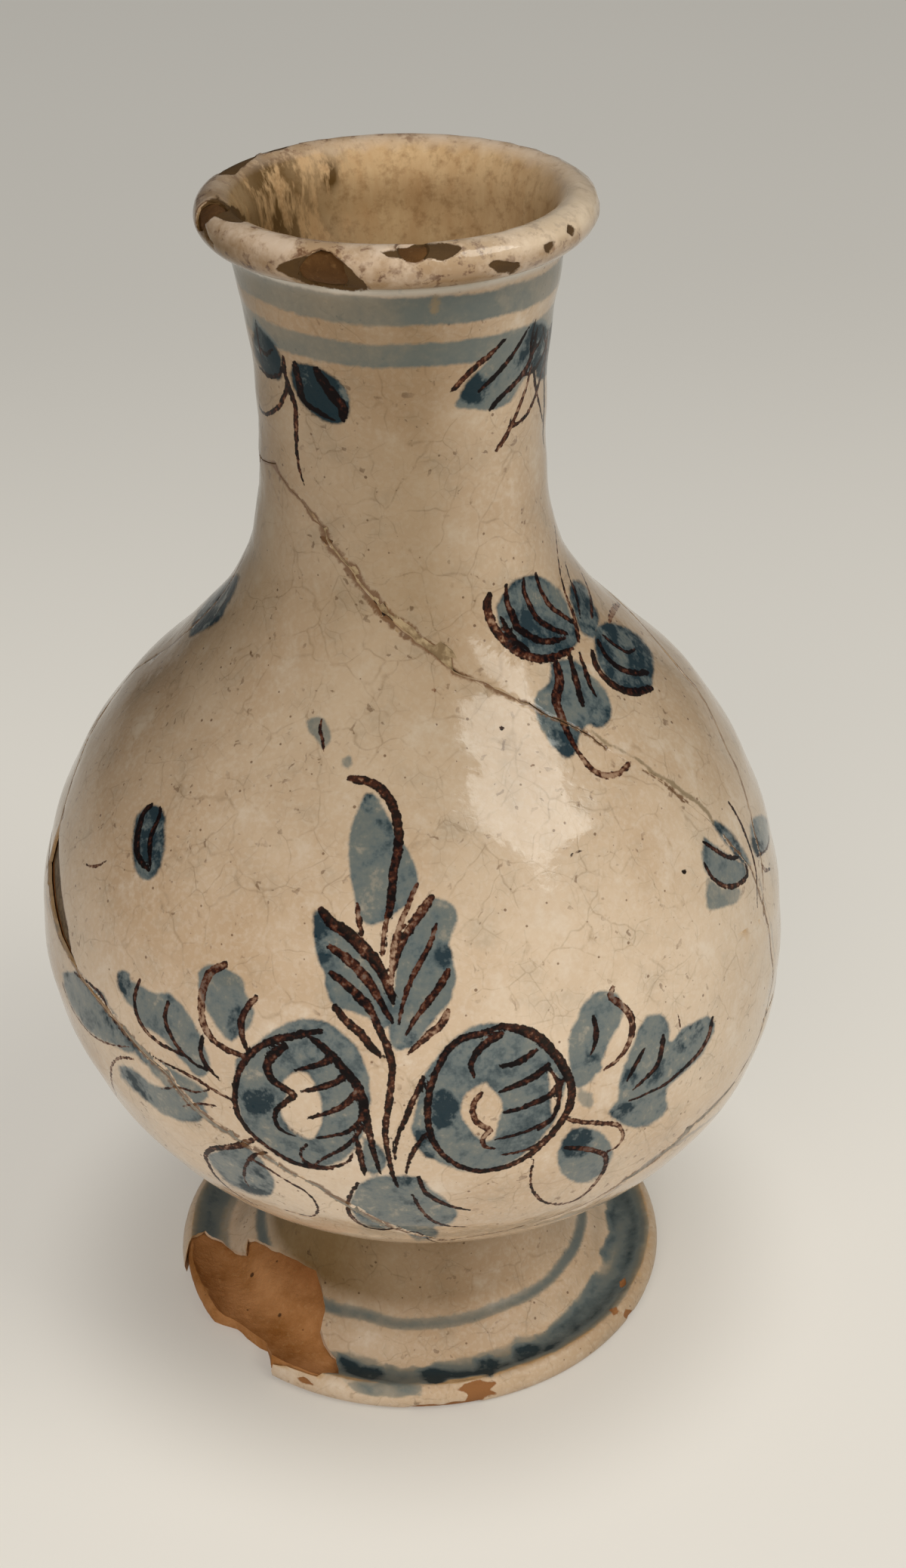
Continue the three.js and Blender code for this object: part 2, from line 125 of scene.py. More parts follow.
def turn_and_radius(points: np.ndarray) -> tuple[np.ndarray, np.ndarray]:
    """How far round the axis places lie, in radians from the front, and how far from the axis."""
    return np.arctan2(points[:, 0], -points[:, 1]), np.hypot(points[:, 0], points[:, 1])


def place_at(turn: np.ndarray, radius: float | np.ndarray, height: np.ndarray) -> np.ndarray:
    """Places at some turns round the axis, distances from it and heights."""
    return np.stack([radius * np.sin(turn), -radius * np.cos(turn), height], 1)


def read_rows(rows: bpy.types.bpy_prop_collection, key: str, kind: type = float, wide: int = 3) -> np.ndarray:
    """Read some numbers of every corner, edge or face of a mesh, with a row for each."""
    flat = np.empty(len(rows) * wide, kind)
    rows.foreach_get(key, flat)
    return flat.reshape(-1, wide)


def lattice_noise(points: np.ndarray, size: float, seed: int) -> np.ndarray:
    """Smooth value noise, the same for a place however often it is asked.

    Args:
        points: places in millimetres.
        size: how large a feature is, in millimetres.
        seed: which of many noises.

    Returns:
        A value from -1 to 1 for each place.
    """
    spot = points / size + seed * 17.31
    cell = np.floor(spot).astype(np.int64)
    f = spot - cell
    f = f * f * (3 - 2 * f)
    total = np.zeros(len(points))
    for corner in range(8):
        step = np.array([corner & 1, (corner >> 1) & 1, corner >> 2])
        x, y, z = (cell + step).T
        mixed = (x * 374761393 + y * 668265263 + z * 2147483647 + seed * 974634777) & 0xFFFFFFFF
        mixed = ((mixed ^ (mixed >> 13)) * 1274126177) & 0xFFFFFFFF
        value = ((mixed ^ (mixed >> 16)) & 0xFFFF) / 32767.5 - 1
        total += value * np.prod(np.where(step, f, 1 - f), axis=1)
    return total


def layered_noise(points: np.ndarray, *layers: tuple[float, float, int]) -> np.ndarray:
    """Add up noises, each given by its strength, size and seed."""
    return sum(strength * lattice_noise(points, size, seed) for strength, size, seed in layers)


def polygon_distance(points: np.ndarray, corners: np.ndarray) -> np.ndarray:
    """Measure the distance to a closed outline in the plane.

    Args:
        points: places in the plane.
        corners: the outline's corners, in order.

    Returns:
        The distance of each place, negative inside the outline.
    """
    best = np.full(len(points), np.inf)
    inside = np.zeros(len(points), bool)
    for a, b in zip(corners, np.roll(corners, -1, axis=0)):
        side, reach = b - a, points - a
        t = np.clip(reach @ side / max(side @ side, 1e-9), 0, 1)
        best = np.minimum(best, np.linalg.norm(reach - t[:, None] * side, axis=1))
        if a[1] != b[1]:
            crosses = (a[1] > points[:, 1]) != (b[1] > points[:, 1])
            inside ^= crosses & (points[:, 0] < side[0] * (points[:, 1] - a[1]) / side[1] + a[0])
    return np.where(inside, -best, best)


class Window(Enum):
    """Enlarged looks at the photograph: left and top edge in it, enlargement, pixels per millimetre."""

    SHOULDER_LEFT = (0, 700, 2.6133, 18.3)
    SHOULDER_RIGHT = (500, 650, 2.6133, 18.6)
    BELLY_LEFT = (40, 1150, 2.529, 17.7)
    BELLY_RIGHT = (500, 1150, 2.6133, 18.3)
    NECK = (200, 140, 2.412, 19.5)
    FOOT = (230, 1530, 2.3403, 15.0)
    RIGHT_FLANK = (780, 1150, 3.4844, 24.6)

    def place(self, points: np.ndarray) -> np.ndarray:
        """Turn this look's pixels into the photograph's."""
        left, top, enlarged, _ = self.value
        return points / enlarged + (left, top)


# Their initials, because every line of brushwork below names one.
SL, SR, BL, BR = Window.SHOULDER_LEFT, Window.SHOULDER_RIGHT, Window.BELLY_LEFT, Window.BELLY_RIGHT
NK, RF = Window.NECK, Window.RIGHT_FLANK


@dataclass(frozen=True)
class Line:
    """One pull of the brush: its path in a window's pixels, its widths there, and 0 brown to 1 black."""

    window: Window
    path: str
    widths: tuple[float, float, float]
    dark: float


@dataclass(frozen=True)
class Wash:
    """One flat of thinned blue: its outline in a window's pixels, and how strong it is; -1 is bare."""

    window: Window
    outline: str
    strength: float


@dataclass(frozen=True)
class Motif:
    """Brushwork that was painted together."""

    name: str
    lines: tuple[Line, ...]
    washes: tuple[Wash, ...]


SPRAY = Motif("spray", lines=(
    Line(SL, "1212,865 1250,872 1290,882 1325,908 1355,950 1372,1000 1380,1060 1375,1120 1362,1180 1358,1240 "
         "1352,1300 1340,1350", (24, 28, 26), 0.75),
    Line(BL, "1200,140 1190,190 1182,240 1180,290", (18, 14, 12), 0.3),
    Line(BL, "1295,55 1265,130 1240,190 1218,260 1212,330 1208,400", (14, 18, 18), 0.25),
    Line(BL, "1095,120 1102,180 1112,225", (14, 18, 10), 0.5),
    Line(BL, "975,140 1010,185 1060,215 1110,265 1155,315 1185,365 1205,410 1215,450", (26, 38, 24), 0.8),
    Line(BL, "1005,265 1055,300 1105,350 1145,400 1175,450 1200,495 1212,515", (24, 30, 16), 0.65),
    Line(BL, "1005,350 1050,385 1100,430 1140,475 1160,520 1182,560", (22, 28, 18), 0.7),
    Line(BL, "1020,465 1060,515 1110,560 1145,605 1172,632", (22, 28, 18), 0.75),
    Line(BL, "1150,500 1175,555 1200,610 1212,680 1205,760 1195,830 1190,900 1200,960 1215,1030 "
         "1230,1065", (24, 22, 14), 0.7),
    Line(BL, "1345,100 1300,160 1255,230 1225,310 1210,380", (26, 24, 14), 0.6),
    Line(BL, "1360,190 1340,250 1305,320 1270,390 1250,450 1235,520", (14, 18, 12), 0.4),
    Line(BL, "1400,345 1370,400 1330,450 1290,505 1258,562", (22, 22, 12), 0.6),
    Line(BL, "1400,480 1380,520 1330,565 1265,625", (24, 22, 12), 0.35),
), washes=(
    Wash(SL, "1270,915 1300,925 1325,965 1345,1000 1370,1060 1400,1100 1435,1160 1448,1230 1420,1290 "
         "1370,1330 1330,1360 1280,1375 1240,1340 1225,1270 1212,1190 1205,1110 1215,1030 1245,960", 0.4),
    Wash(SL, "1265,915 1295,920 1300,960 1270,985 1250,960", 0.85),
    Wash(SL, "1300,1010 1340,1000 1365,1060 1340,1110 1300,1080", 0.55),
    Wash(BL, "945,155 960,140 985,165 1030,195 1080,240 1130,290 1180,350 1205,400 1215,450 1215,520 "
         "1180,540 1130,500 1070,480 1010,455 990,400 985,350 965,310 950,240", 0.42),
    Wash(BL, "945,155 965,140 1000,180 1030,215 1010,260 1010,300 975,315 955,270", 0.8),
    Wash(BL, "1345,95 1390,105 1430,140 1425,190 1405,240 1415,300 1425,370 1410,440 1370,490 1320,550 "
         "1280,600 1225,610 1200,560 1205,510 1215,440 1222,360 1240,270 1290,170", 0.38),
    Wash(BL, "1370,240 1405,260 1415,310 1390,340 1360,310", 0.65),
    Wash(BL, "1250,560 1300,545 1290,590 1230,605", 0.65),
))

FRUIT_LEFT = Motif("fruit_left", lines=(
    Line(BL, "970,548 880,565 800,585 735,625 700,680 683,740 690,810 720,870 770,920 830,960 890,990 "
         "950,1003 1010,1008", (24, 20, 18), 0.75),
    Line(BL, "940,570 1000,620 1055,680 1095,730 1115,790 1130,860 1145,930 1165,1000 "
         "1172,1022", (24, 32, 16), 0.85),
    Line(BL, "1115,800 1100,850 1070,880 1020,895 960,905", (14, 16, 10), 0.7),
    Line(BL, "1100,740 1060,790 1000,820 930,838", (24, 20, 12), 0.75),
    Line(BL, "1065,690 1020,720 960,740 905,752", (24, 20, 12), 0.75),
    Line(BL, "1010,640 960,660 890,678", (22, 18, 12), 0.7),
    Line(BL, "850,600 815,625 793,660 805,705 840,735 880,765 850,790 820,820 825,860 850,885 "
         "885,898", (30, 24, 12), 0.75),
    Line(BL, "925,930 905,950 910,975 940,995 990,1003 1040,995 1070,980 1080,955", (12, 14, 10), 0.6),
    Line(BL, "1115,860 1085,905 1040,945 990,970 945,1000", (12, 14, 10), 0.55),
    Line(BL, "1095,910 1105,960 1120,1025", (16, 22, 16), 0.65),
), washes=(
    Wash(BL, "690,640 740,600 800,555 850,520 920,505 990,515 1050,555 1100,610 1130,680 1140,760 1130,850 "
         "1100,920 1050,975 980,1005 900,995 820,960 760,910 715,850 690,780 685,700", 0.45),
    Wash(BL, "1115,900 1180,940 1195,990 1150,1030 1120,1010", 0.5),
    Wash(BL, "860,600 940,575 1000,625 1010,700 930,680 880,690 840,660", 0.55),
    Wash(BL, "845,720 870,690 925,685 960,740 975,800 970,870 950,905 900,895 860,860 840,800 860,760", -1.0),
    Wash(BL, "708,778 725,745 762,735 800,745 818,778 805,812 765,822 722,812", 0.95),
))

FRUIT_RIGHT = Motif("fruit_right", lines=(
    Line(BR, "430,548 360,575 290,595 245,630 210,690 185,750 175,820 177,890 195,950 235,1000 290,1035 "
         "350,1048 420,1040 490,1015 550,975 600,925 640,870 668,815 672,760 650,700 610,640 560,590 500,562 "
         "430,548", (24, 20, 34), 0.8),
    Line(BR, "600,700 632,760 625,820 600,870 560,905", (14, 18, 12), 0.7),
    Line(BR, "550,630 510,660 470,678 425,685", (20, 22, 14), 0.75),
    Line(BR, "590,680 560,710 500,745 425,775", (24, 24, 14), 0.8),
    Line(BR, "640,740 600,785 540,815 490,835 440,845", (26, 20, 14), 0.75),
    Line(BR, "610,860 550,895 480,922 410,938", (14, 16, 12), 0.6),
    Line(BR, "600,920 545,965 480,985 425,995", (12, 14, 10), 0.5),
    Line(BR, "430,575 380,605 345,640 325,680 335,725", (26, 24, 14), 0.7),
    Line(BR, "360,780 335,815 330,850 350,885 388,905 362,940 372,965 405,972", (18, 22, 12), 0.35),
    Line(BR, "158,725 130,790 100,860 70,930 60,1010", (20, 20, 10), 0.7),
    Line(BR, "165,920 130,970 108,1020 98,1060", (14, 18, 10), 0.75),
), washes=(
    Wash(BR, "250,600 330,550 400,535 480,555 560,600 620,660 655,720 640,800 610,880 550,950 480,1010 "
         "380,1052 280,1045 200,1010 140,960 118,910 135,830 150,740 190,670", 0.45),
    Wash(BR, "590,690 620,720 628,800 605,850 598,780", -1.0),
    Wash(BR, "375,740 300,790 290,850 320,900 380,945 405,930 415,880 435,820 400,770", -1.0),
    Wash(BR, "190,780 235,768 272,800 275,850 240,895 200,900 178,850", 0.95),
    Wash(BR, "125,900 175,905 215,960 200,1010 150,985", 0.75),
))

LEFT_SPRAYS = Motif("left_sprays", lines=(
    Line(BL, "650,325 610,345 580,400 570,460 580,530 610,575 660,610 735,635", (26, 26, 16), 0.45),
    Line(BL, "755,435 725,470 705,510 705,550 720,600 738,630", (20, 24, 14), 0.65),
    Line(BL, "365,375 350,430 355,480 375,530 420,580 480,615 530,640", (14, 16, 10), 0.6),
    Line(BL, "460,450 450,500 465,550 500,610 560,665 590,680", (16, 18, 10), 0.65),
    Line(BL, "575,570 570,620 585,660 620,700 645,725", (18, 18, 8), 0.7),
    Line(BL, "150,350 200,385 240,425 262,480 300,540 345,590 400,630 440,650", (10, 14, 10), 0.6),
    Line(BL, "108,380 125,430 160,500 210,560 270,590 330,600", (6, 8, 6), 0.3),
    Line(BL, "440,650 520,690 580,725 640,760 680,780", (8, 12, 8), 0.4),
    Line(BL, "440,740 500,735 550,750 600,745", (6, 10, 6), 0.35),
    Line(BL, "510,800 560,790 620,797", (6, 10, 6), 0.35),
    Line(BL, "345,640 300,635 272,660 275,720 300,790 350,850 400,900 450,945 500,985 "
         "540,1000", (10, 7, 5), 0.2),
    Line(BL, "742,912 700,930 650,937 600,945 585,965 600,1000 640,1050 700,1100 "
         "760,1130", (26, 14, 8), 0.55),
    Line(BL, "790,955 745,965 720,1000 715,1040 735,1070", (12, 12, 6), 0.5),
    Line(BL, "740,975 800,1010 860,1050 920,1085 952,1115 965,1145 950,1165 900,1160 "
         "850,1145", (14, 10, 6), 0.4),
), washes=(
    Wash(BL, "560,350 600,320 660,340 715,375 720,420 750,470 750,510 700,560 680,580 630,540 600,490 "
         "570,420", 0.38),
    Wash(BL, "660,480 700,460 705,520 680,570 655,530", 0.65),
    Wash(BL, "290,345 320,340 340,380 370,390 420,420 460,415 500,450 540,500 570,560 590,610 600,680 "
         "570,700 520,660 470,600 430,560 380,530 350,480 310,430 295,390", 0.4),
    Wash(BL, "290,345 320,340 340,385 330,440 300,415", 0.75),
    Wash(BL, "415,430 470,425 500,480 480,540 440,480", 0.65),
    Wash(BL, "105,350 150,345 200,385 240,430 290,500 330,560 370,610 340,620 270,590 210,560 160,500 "
         "120,420", 0.45),
    Wash(BL, "200,400 235,410 270,480 330,560 370,610 430,650 400,660 330,600 260,520", 0.6),
    Wash(BL, "370,620 430,640 500,690 560,720 600,760 560,790 480,750 420,700", 0.3),
    Wash(BL, "295,660 330,665 380,700 420,730 470,735 520,760 580,790 595,820 560,850 500,845 440,820 "
         "390,780 340,740 305,700", 0.42),
    Wash(BL, "300,665 340,690 400,750 410,780 360,750 310,705", 0.7),
    Wash(BL, "590,960 650,940 720,930 760,960 790,1000 820,1070 800,1100 740,1090 670,1060 620,1010", 0.48),
    Wash(BL, "690,1030 750,1010 800,1060 780,1095 730,1088", 0.68),
))

RIGHT_SPRAYS = Motif("right_sprays", lines=(
    Line(BR, "815,412 808,445 840,470 875,510 882,560 862,620 830,665 785,700", (20, 26, 14), 0.35),
    Line(BR, "750,515 758,560 752,610 735,650", (18, 22, 8), 0.7),
    Line(BR, "925,625 905,665 885,700 865,735", (16, 20, 12), 0.8),
    Line(BR, "988,580 985,630 970,680 935,720 885,765", (22, 20, 12), 0.75),
    Line(BR, "1160,520 1150,570 1110,640 1050,700 990,750 930,780 870,805", (22, 16, 10), 0.65),
    Line(BR, "660,870 720,880 790,885 835,892 850,922 830,960 795,980", (18, 18, 8), 0.35),
    Line(BR, "655,968 700,970 750,978 785,992 790,1030 770,1070 730,1115 680,1150 620,1162 560,1145 535,1110 "
         "530,1060 540,1010", (20, 16, 8), 0.45),
    Line(BR, "1035,490 1042,520 1048,550", (3, 4, 3), 0.2),
), washes=(
    Wash(BR, "690,520 720,460 770,425 820,430 850,470 838,540 800,610 770,680 740,740 690,760 665,690 "
         "660,620 670,560", 0.4),
    Wash(BR, "720,640 770,650 775,700 730,720", 0.6),
    Wash(BR, "700,760 745,790 740,830 690,800", 0.12),
    Wash(BR, "880,620 900,560 940,510 985,505 1010,540 1015,600 1050,560 1100,530 1150,512 1170,545 1150,600 "
         "1110,660 1060,710 1000,770 1002,830 960,880 890,900 820,868 800,850 830,800 835,740 855,680", 0.42),
    Wash(BR, "1050,570 1120,530 1130,570 1060,640 1000,700 930,760 960,690 1010,630", 0.68),
    Wash(BR, "840,740 870,690 900,700 880,760 850,765", 0.75),
    Wash(BR, "800,850 860,810 890,820 850,865 815,868", 0.75),
    Wash(BR, "640,940 680,900 740,900 800,940 815,990 790,1040 750,1080 690,1090 640,1060 620,1010", 0.4),
    Wash(BR, "640,940 680,902 735,905 730,985 660,1000 635,975", 0.72),
))

KNOT = Motif("knot", lines=(
    Line(BL, "1098,1055 1075,1090 1062,1130 1080,1170 1120,1200 1180,1212 1240,1205", (12, 16, 10), 0.75),
    Line(BR, "143,1070 165,1120 215,1155 270,1175 318,1183", (16, 20, 8), 0.75),
    Line(BR, "120,1130 150,1180 185,1215 240,1237 310,1242", (12, 16, 6), 0.65),
    Line(BL, "1230,1195 1250,1215 1300,1222 1330,1240 1380,1256", (6, 9, 5), 0.55),
), washes=(
    Wash(BL, "1100,1060 1150,1035 1230,1030 1300,1035 1350,1080 1400,1120 1435,1160 1400,1195 1350,1200 "
         "1370,1218 1300,1248 1240,1208 1150,1208 1090,1175 1072,1120", 0.46),
    Wash(BL, "1225,1035 1300,1040 1290,1070 1235,1070", 0.72),
    Wash(BL, "1240,1100 1290,1120 1320,1190 1270,1180", 0.58),
))

SHOULDER_FLOWER = Motif("shoulder_flower", lines=(
    Line(SR, "388,365 380,400 390,440 415,490 450,530 500,565 560,582 620,572 680,545", (30, 30, 18), 0.6),
    Line(SR, "445,330 450,380 465,430 490,475 530,505 580,522 650,510", (20, 24, 16), 0.75),
    Line(SR, "505,305 510,350 530,400 560,450 600,475 655,495", (18, 24, 16), 0.75),
    Line(SR, "548,290 570,350 600,400 640,432 682,460", (18, 22, 16), 0.65),
    Line(SR, "430,440 455,490 490,530 520,545", (16, 22, 14), 0.95),
    Line(SR, "455,400 480,440 475,470 505,500", (14, 18, 12), 0.95),
    Line(SR, "610,120 620,200 635,290 655,370 680,440 697,522", (7, 10, 20), 0.5),
    Line(SR, "650,245 668,310 692,380", (7, 10, 14), 0.5),
    Line(SR, "675,230 712,305 735,370 740,440", (7, 10, 16), 0.5),
    Line(SR, "680,330 690,380 700,440", (12, 16, 10), 0.85),
    Line(SR, "780,500 830,540 868,560 892,545", (16, 18, 10), 0.9),
    Line(SR, "765,520 790,570 830,610 880,630 935,630", (22, 24, 20), 0.85),
    Line(SR, "745,555 760,610 800,660 850,690 900,697 948,682", (22, 28, 24), 0.85),
    Line(SR, "800,455 812,420 832,392", (14, 18, 20), 0.15),
    Line(SR, "665,560 680,620 695,680 710,740", (18, 24, 22), 0.8),
    Line(SR, "700,560 720,620 740,680 755,710", (12, 20, 14), 0.8),
    Line(SR, "622,600 632,660 620,720 640,790 670,860 700,910", (34, 30, 18), 0.55),
    Line(SR, "700,910 740,960 790,985 840,975 875,940", (18, 20, 14), 0.2),
), washes=(
    Wash(SR, "410,400 440,350 480,305 540,290 590,310 640,360 665,420 690,480 695,525 660,560 600,592 "
         "540,585 480,560 440,510 415,450", 0.56),
    Wash(SR, "440,400 500,380 540,440 600,480 560,540 490,530 450,470", 0.7),
    Wash(SR, "590,310 640,360 660,410 620,390", 0.35),
    Wash(SR, "665,330 680,305 710,320 740,370 765,430 762,480 742,512 700,480 680,420 665,380", 0.68),
    Wash(SR, "755,480 790,455 840,465 890,490 930,530 955,580 955,640 945,690 900,705 850,690 800,650 "
         "765,600 750,550", 0.64),
    Wash(SR, "758,485 800,462 830,500 850,560 810,580 765,540", 0.9),
    Wash(SR, "600,600 640,585 690,590 740,640 790,690 810,740 800,800 770,825 730,810 700,850 690,900 "
         "660,930 610,890 570,830 545,760 550,700 590,670", 0.45),
    Wash(SR, "600,850 650,830 695,890 660,930 615,895", 0.74),
    Wash(SR, "548,760 575,740 600,800 640,880 625,895 585,840", 0.62),
    Wash(SR, "740,740 805,760 795,805 765,822 735,800", 0.65),
    Wash(SR, "700,522 715,512 745,548 725,565 712,550", -1.0),
))

EDGE_FLOWER = Motif("edge_flower", lines=(
    Line(SR, "1125,1215 1170,1245 1220,1270 1252,1268", (12, 18, 12), 0.7),
    Line(SR, "1130,1290 1160,1340 1210,1370 1250,1360 1277,1325 1270,1290", (12, 18, 14), 0.6),
    Line(SR, "1215,1080 1245,1130 1270,1180 1290,1240 1305,1310 1312,1380 1315,1440", (14, 14, 8), 0.65),
    Line(SR, "1340,1120 1355,1190 1345,1240 1310,1265", (6, 9, 8), 0.6),
    Line(SR, "1325,1290 1345,1315 1360,1308", (8, 16, 12), 0.3),
), washes=(
    Wash(SR, "1130,1200 1160,1220 1230,1270 1270,1290 1280,1320 1250,1360 1200,1370 1150,1340 "
         "1125,1280", 0.4),
    Wash(SR, "1150,1140 1190,1150 1230,1190 1265,1240 1290,1300 1260,1290 1220,1240 1180,1190", 0.6),
    Wash(SR, "1290,1140 1320,1120 1345,1130 1355,1180 1350,1240 1320,1270 1295,1230", 0.42),
    Wash(SR, "1290,1200 1330,1210 1340,1250 1315,1268 1294,1235", 0.75),
    Wash(SR, "1140,1335 1200,1375 1255,1375 1250,1420 1200,1440 1150,1452", 0.2),
))

NECK_LEFT = Motif("neck_left", lines=(
    Line(NK, "530,846 555,888 584,930 612,968 612,1000", (26, 34, 24), 1.0),
    Line(NK, "462,826 472,880 486,941 505,968", (24, 24, 12), 1.0),
    Line(NK, "470,920 500,955 545,985 585,1005", (12, 16, 10), 1.0),
    Line(NK, "425,805 430,860 445,910 460,960 465,1040 465,1110 475,1170 490,1212", (16, 18, 8), 0.8),
    Line(NK, "437,880 425,930 400,970 370,985 350,970 348,938", (16, 14, 6), 0.6),
    Line(NK, "350,770 370,795 390,778", (8, 12, 8), 0.95),
    Line(NK, "345,835 380,866 410,860 425,820", (10, 13, 12), 0.95),
    Line(NK, "335,690 345,750 358,820", (8, 12, 8), 0.9),
), washes=(
    Wash(NK, "455,820 500,825 560,850 610,890 635,950 625,1005 590,1020 540,1000 490,960 455,900 "
         "445,850", 0.97),
    Wash(NK, "582,862 624,905 634,950 614,930 596,900", 0.45),
    Wash(NK, "330,680 360,720 395,760 415,800 408,880 370,860 340,820 325,760", 0.76),
))

NECK_RIGHT = Motif("neck_right", lines=(
    Line(NK, "1135,745 1090,790 1040,830 1000,870 962,910", (12, 18, 14), 0.6),
    Line(NK, "1210,710 1160,790 1110,850 1050,910", (10, 16, 14), 0.85),
    Line(NK, "1235,715 1215,800 1170,880 1120,930 1085,970", (14, 20, 14), 0.85),
    Line(NK, "1215,830 1200,900 1160,1000 1130,1060 1105,1100", (12, 14, 16), 0.45),
    Line(NK, "1222,840 1230,900 1240,960 1250,1015", (14, 12, 5), 0.7),
    Line(NK, "1255,710 1262,780 1275,830", (8, 12, 8), 0.8),
), washes=(
    Wash(NK, "1000,890 1040,850 1100,790 1150,740 1210,700 1240,715 1225,780 1210,840 1180,900 1140,950 "
         "1100,970 1040,970 970,962 990,920", 0.36),
    Wash(NK, "1000,895 1040,855 1080,880 1070,940 1020,950 985,925", 0.8),
    Wash(NK, "1250,720 1282,700 1282,780 1265,860 1240,882 1225,830 1235,770", 0.7),
))

OVAL = Motif("oval", lines=(
    Line(SL, "522,955 495,985 482,1030 475,1080 480,1130 498,1165 515,1180", (20, 28, 16), 1.0),
    Line(SL, "552,965 545,1010 525,1050 518,1090 520,1140 522,1172", (16, 22, 12), 1.0),
), washes=(
    Wash(SL, "520,955 558,965 572,1050 565,1140 535,1205 505,1218 475,1190 458,1110 462,1030 485,975", 0.6),
    Wash(SL, "520,960 552,968 568,1010 566,1100 540,1155 510,1170 490,1110 495,1010", 0.92),
))

FLECKS = Motif("flecks", lines=(
    Line(SL, "1112,665 1108,700 1118,740 1120,770", (8, 11, 7), 0.45),
    Line(SR, "665,1272 690,1252 722,1245", (3, 5, 3), 0.1),
    Line(SL, "290,1160 330,1170 370,1150", (4, 9, 4), 0.3),
    Line(SL, "1108,34 1135,45 1165,55", (10, 18, 8), 0.7),
    Line(SL, "1222,158 1232,170", (10, 12, 10), 0.8),
    Line(SL, "1296,240 1308,272 1340,305 1385,327 1420,348", (10, 12, 6), 0.9),
    Line(SR, "1057,1319 1065,1319", (14, 14, 14), 0.95),
    Line(SR, "192,690 198,692", (10, 10, 10), 0.1),
    Line(SR, "534,952 540,950", (9, 9, 9), 0.1),
    Line(SR, "427,820 433,822", (9, 9, 9), 0.3),
), washes=(
    Wash(SL, "1060,665 1105,650 1140,690 1142,740 1115,765 1095,730 1065,700", 0.19),
    Wash(SL, "1185,800 1215,785 1222,805 1200,832 1185,822", 0.22),
))

SHOULDER_LEAF = Motif("shoulder_leaf", lines=(
    Line(SL, "820,165 780,215 730,275 690,315 665,330", (10, 15, 11), 0.85),
    Line(SL, "815,195 775,250 735,310", (8, 11, 8), 0.8),
    Line(SL, "800,170 755,212 720,250", (5, 8, 5), 0.8),
), washes=(
    Wash(SL, "655,375 665,330 700,270 740,220 790,175 825,155 820,200 790,260 760,320 710,352", 0.82),
))

# The glazed body's outline in the frame: radius and height, up the outside and down the throat.
BODY_OUTLINE = (
    (28, 31.3), (38.1, 35.4), (47, 40.7), (54.5, 47.4), (60.5, 55.1), (64.8, 63.9), (67.5, 73.6), (68.4, 85),
    (66.7, 98.7), (61.5, 112.8), (53.3, 125.8), (42.4, 136.8), (34.9, 144.8), (29.7, 152), (26.3, 159.6),
    (24.6, 169.2), (24.1, 182), (24.5, 193.9), (26, 203.9), (28.7, 212.9), (30.7, 213.7), (32.3, 216),
    (31.6, 218.8), (29, 220), (26.9, 219.3), (25.7, 217.4), (23.6, 208.2), (20.4, 198.3), (18.8, 186),
)
FOOT_OUTLINE = (
    (47.5, 0), (48.1, 0.6), (48.1, 3.6), (46.7, 4.8), (45.3, 4.2), (42, 3), (39, 3), (34.4, 6.8), (32.4, 7.8),
    (30.4, 10.4), (28.6, 14.1), (27.4, 18.5), (27, 23), (28, 31.3),
)

MOTIFS = (SPRAY, FRUIT_LEFT, FRUIT_RIGHT, LEFT_SPRAYS, RIGHT_SPRAYS, KNOT, SHOULDER_FLOWER, EDGE_FLOWER,
          NECK_LEFT, NECK_RIGHT, OVAL, FLECKS, SHOULDER_LEAF)
# The unseen back is taken to repeat the sprays of the front; degrees round the axis.
REPEATS = (
    ("shoulder_flower", 112.0), ("spray", 180.0), ("fruit_left", 180.0), ("fruit_right", 180.0),
    ("left_sprays", 172.0), ("right_sprays", 186.0), ("knot", 180.0),
    ("neck_left", 120.0), ("neck_right", 115.0), ("neck_left", -120.0), ("oval", 160.0),
)
# Old filler and glue left on the glaze beside the breaks, as paths with widths.
SMEARS = (
    Line(RF, "780,30 810,150 835,260 850,350 855,450 840,560 820,660 810,720", (10, 14, 12), 0.1),
    Line(RF, "780,820 760,880 720,960 660,1050 600,1120 530,1180 450,1240 380,1290 300,1340 230,1390 "
         "170,1440 100,1500 30,1550", (14, 30, 18), 0.0),
    Line(SR, "740,830 790,870 850,900 910,935 960,980 1010,1005 1060,1045 1110,1080 1140,1110 "
         "1160,1150", (8, 15, 18), 0.9),
    Line(SL, "560,385 450,520 370,640 300,740 250,830 215,910 190,970 170,1030", (7, 10, 10), 0.4),
    Line(SL, "145,1180 165,1290 210,1410 260,1500", (10, 12, 10), 0.4),
    Line(NK, "925,615 912,640 905,672", (26, 34, 18), 0.9),
    Line(NK, "505,592 512,608 515,622", (12, 14, 8), 0.9),
)

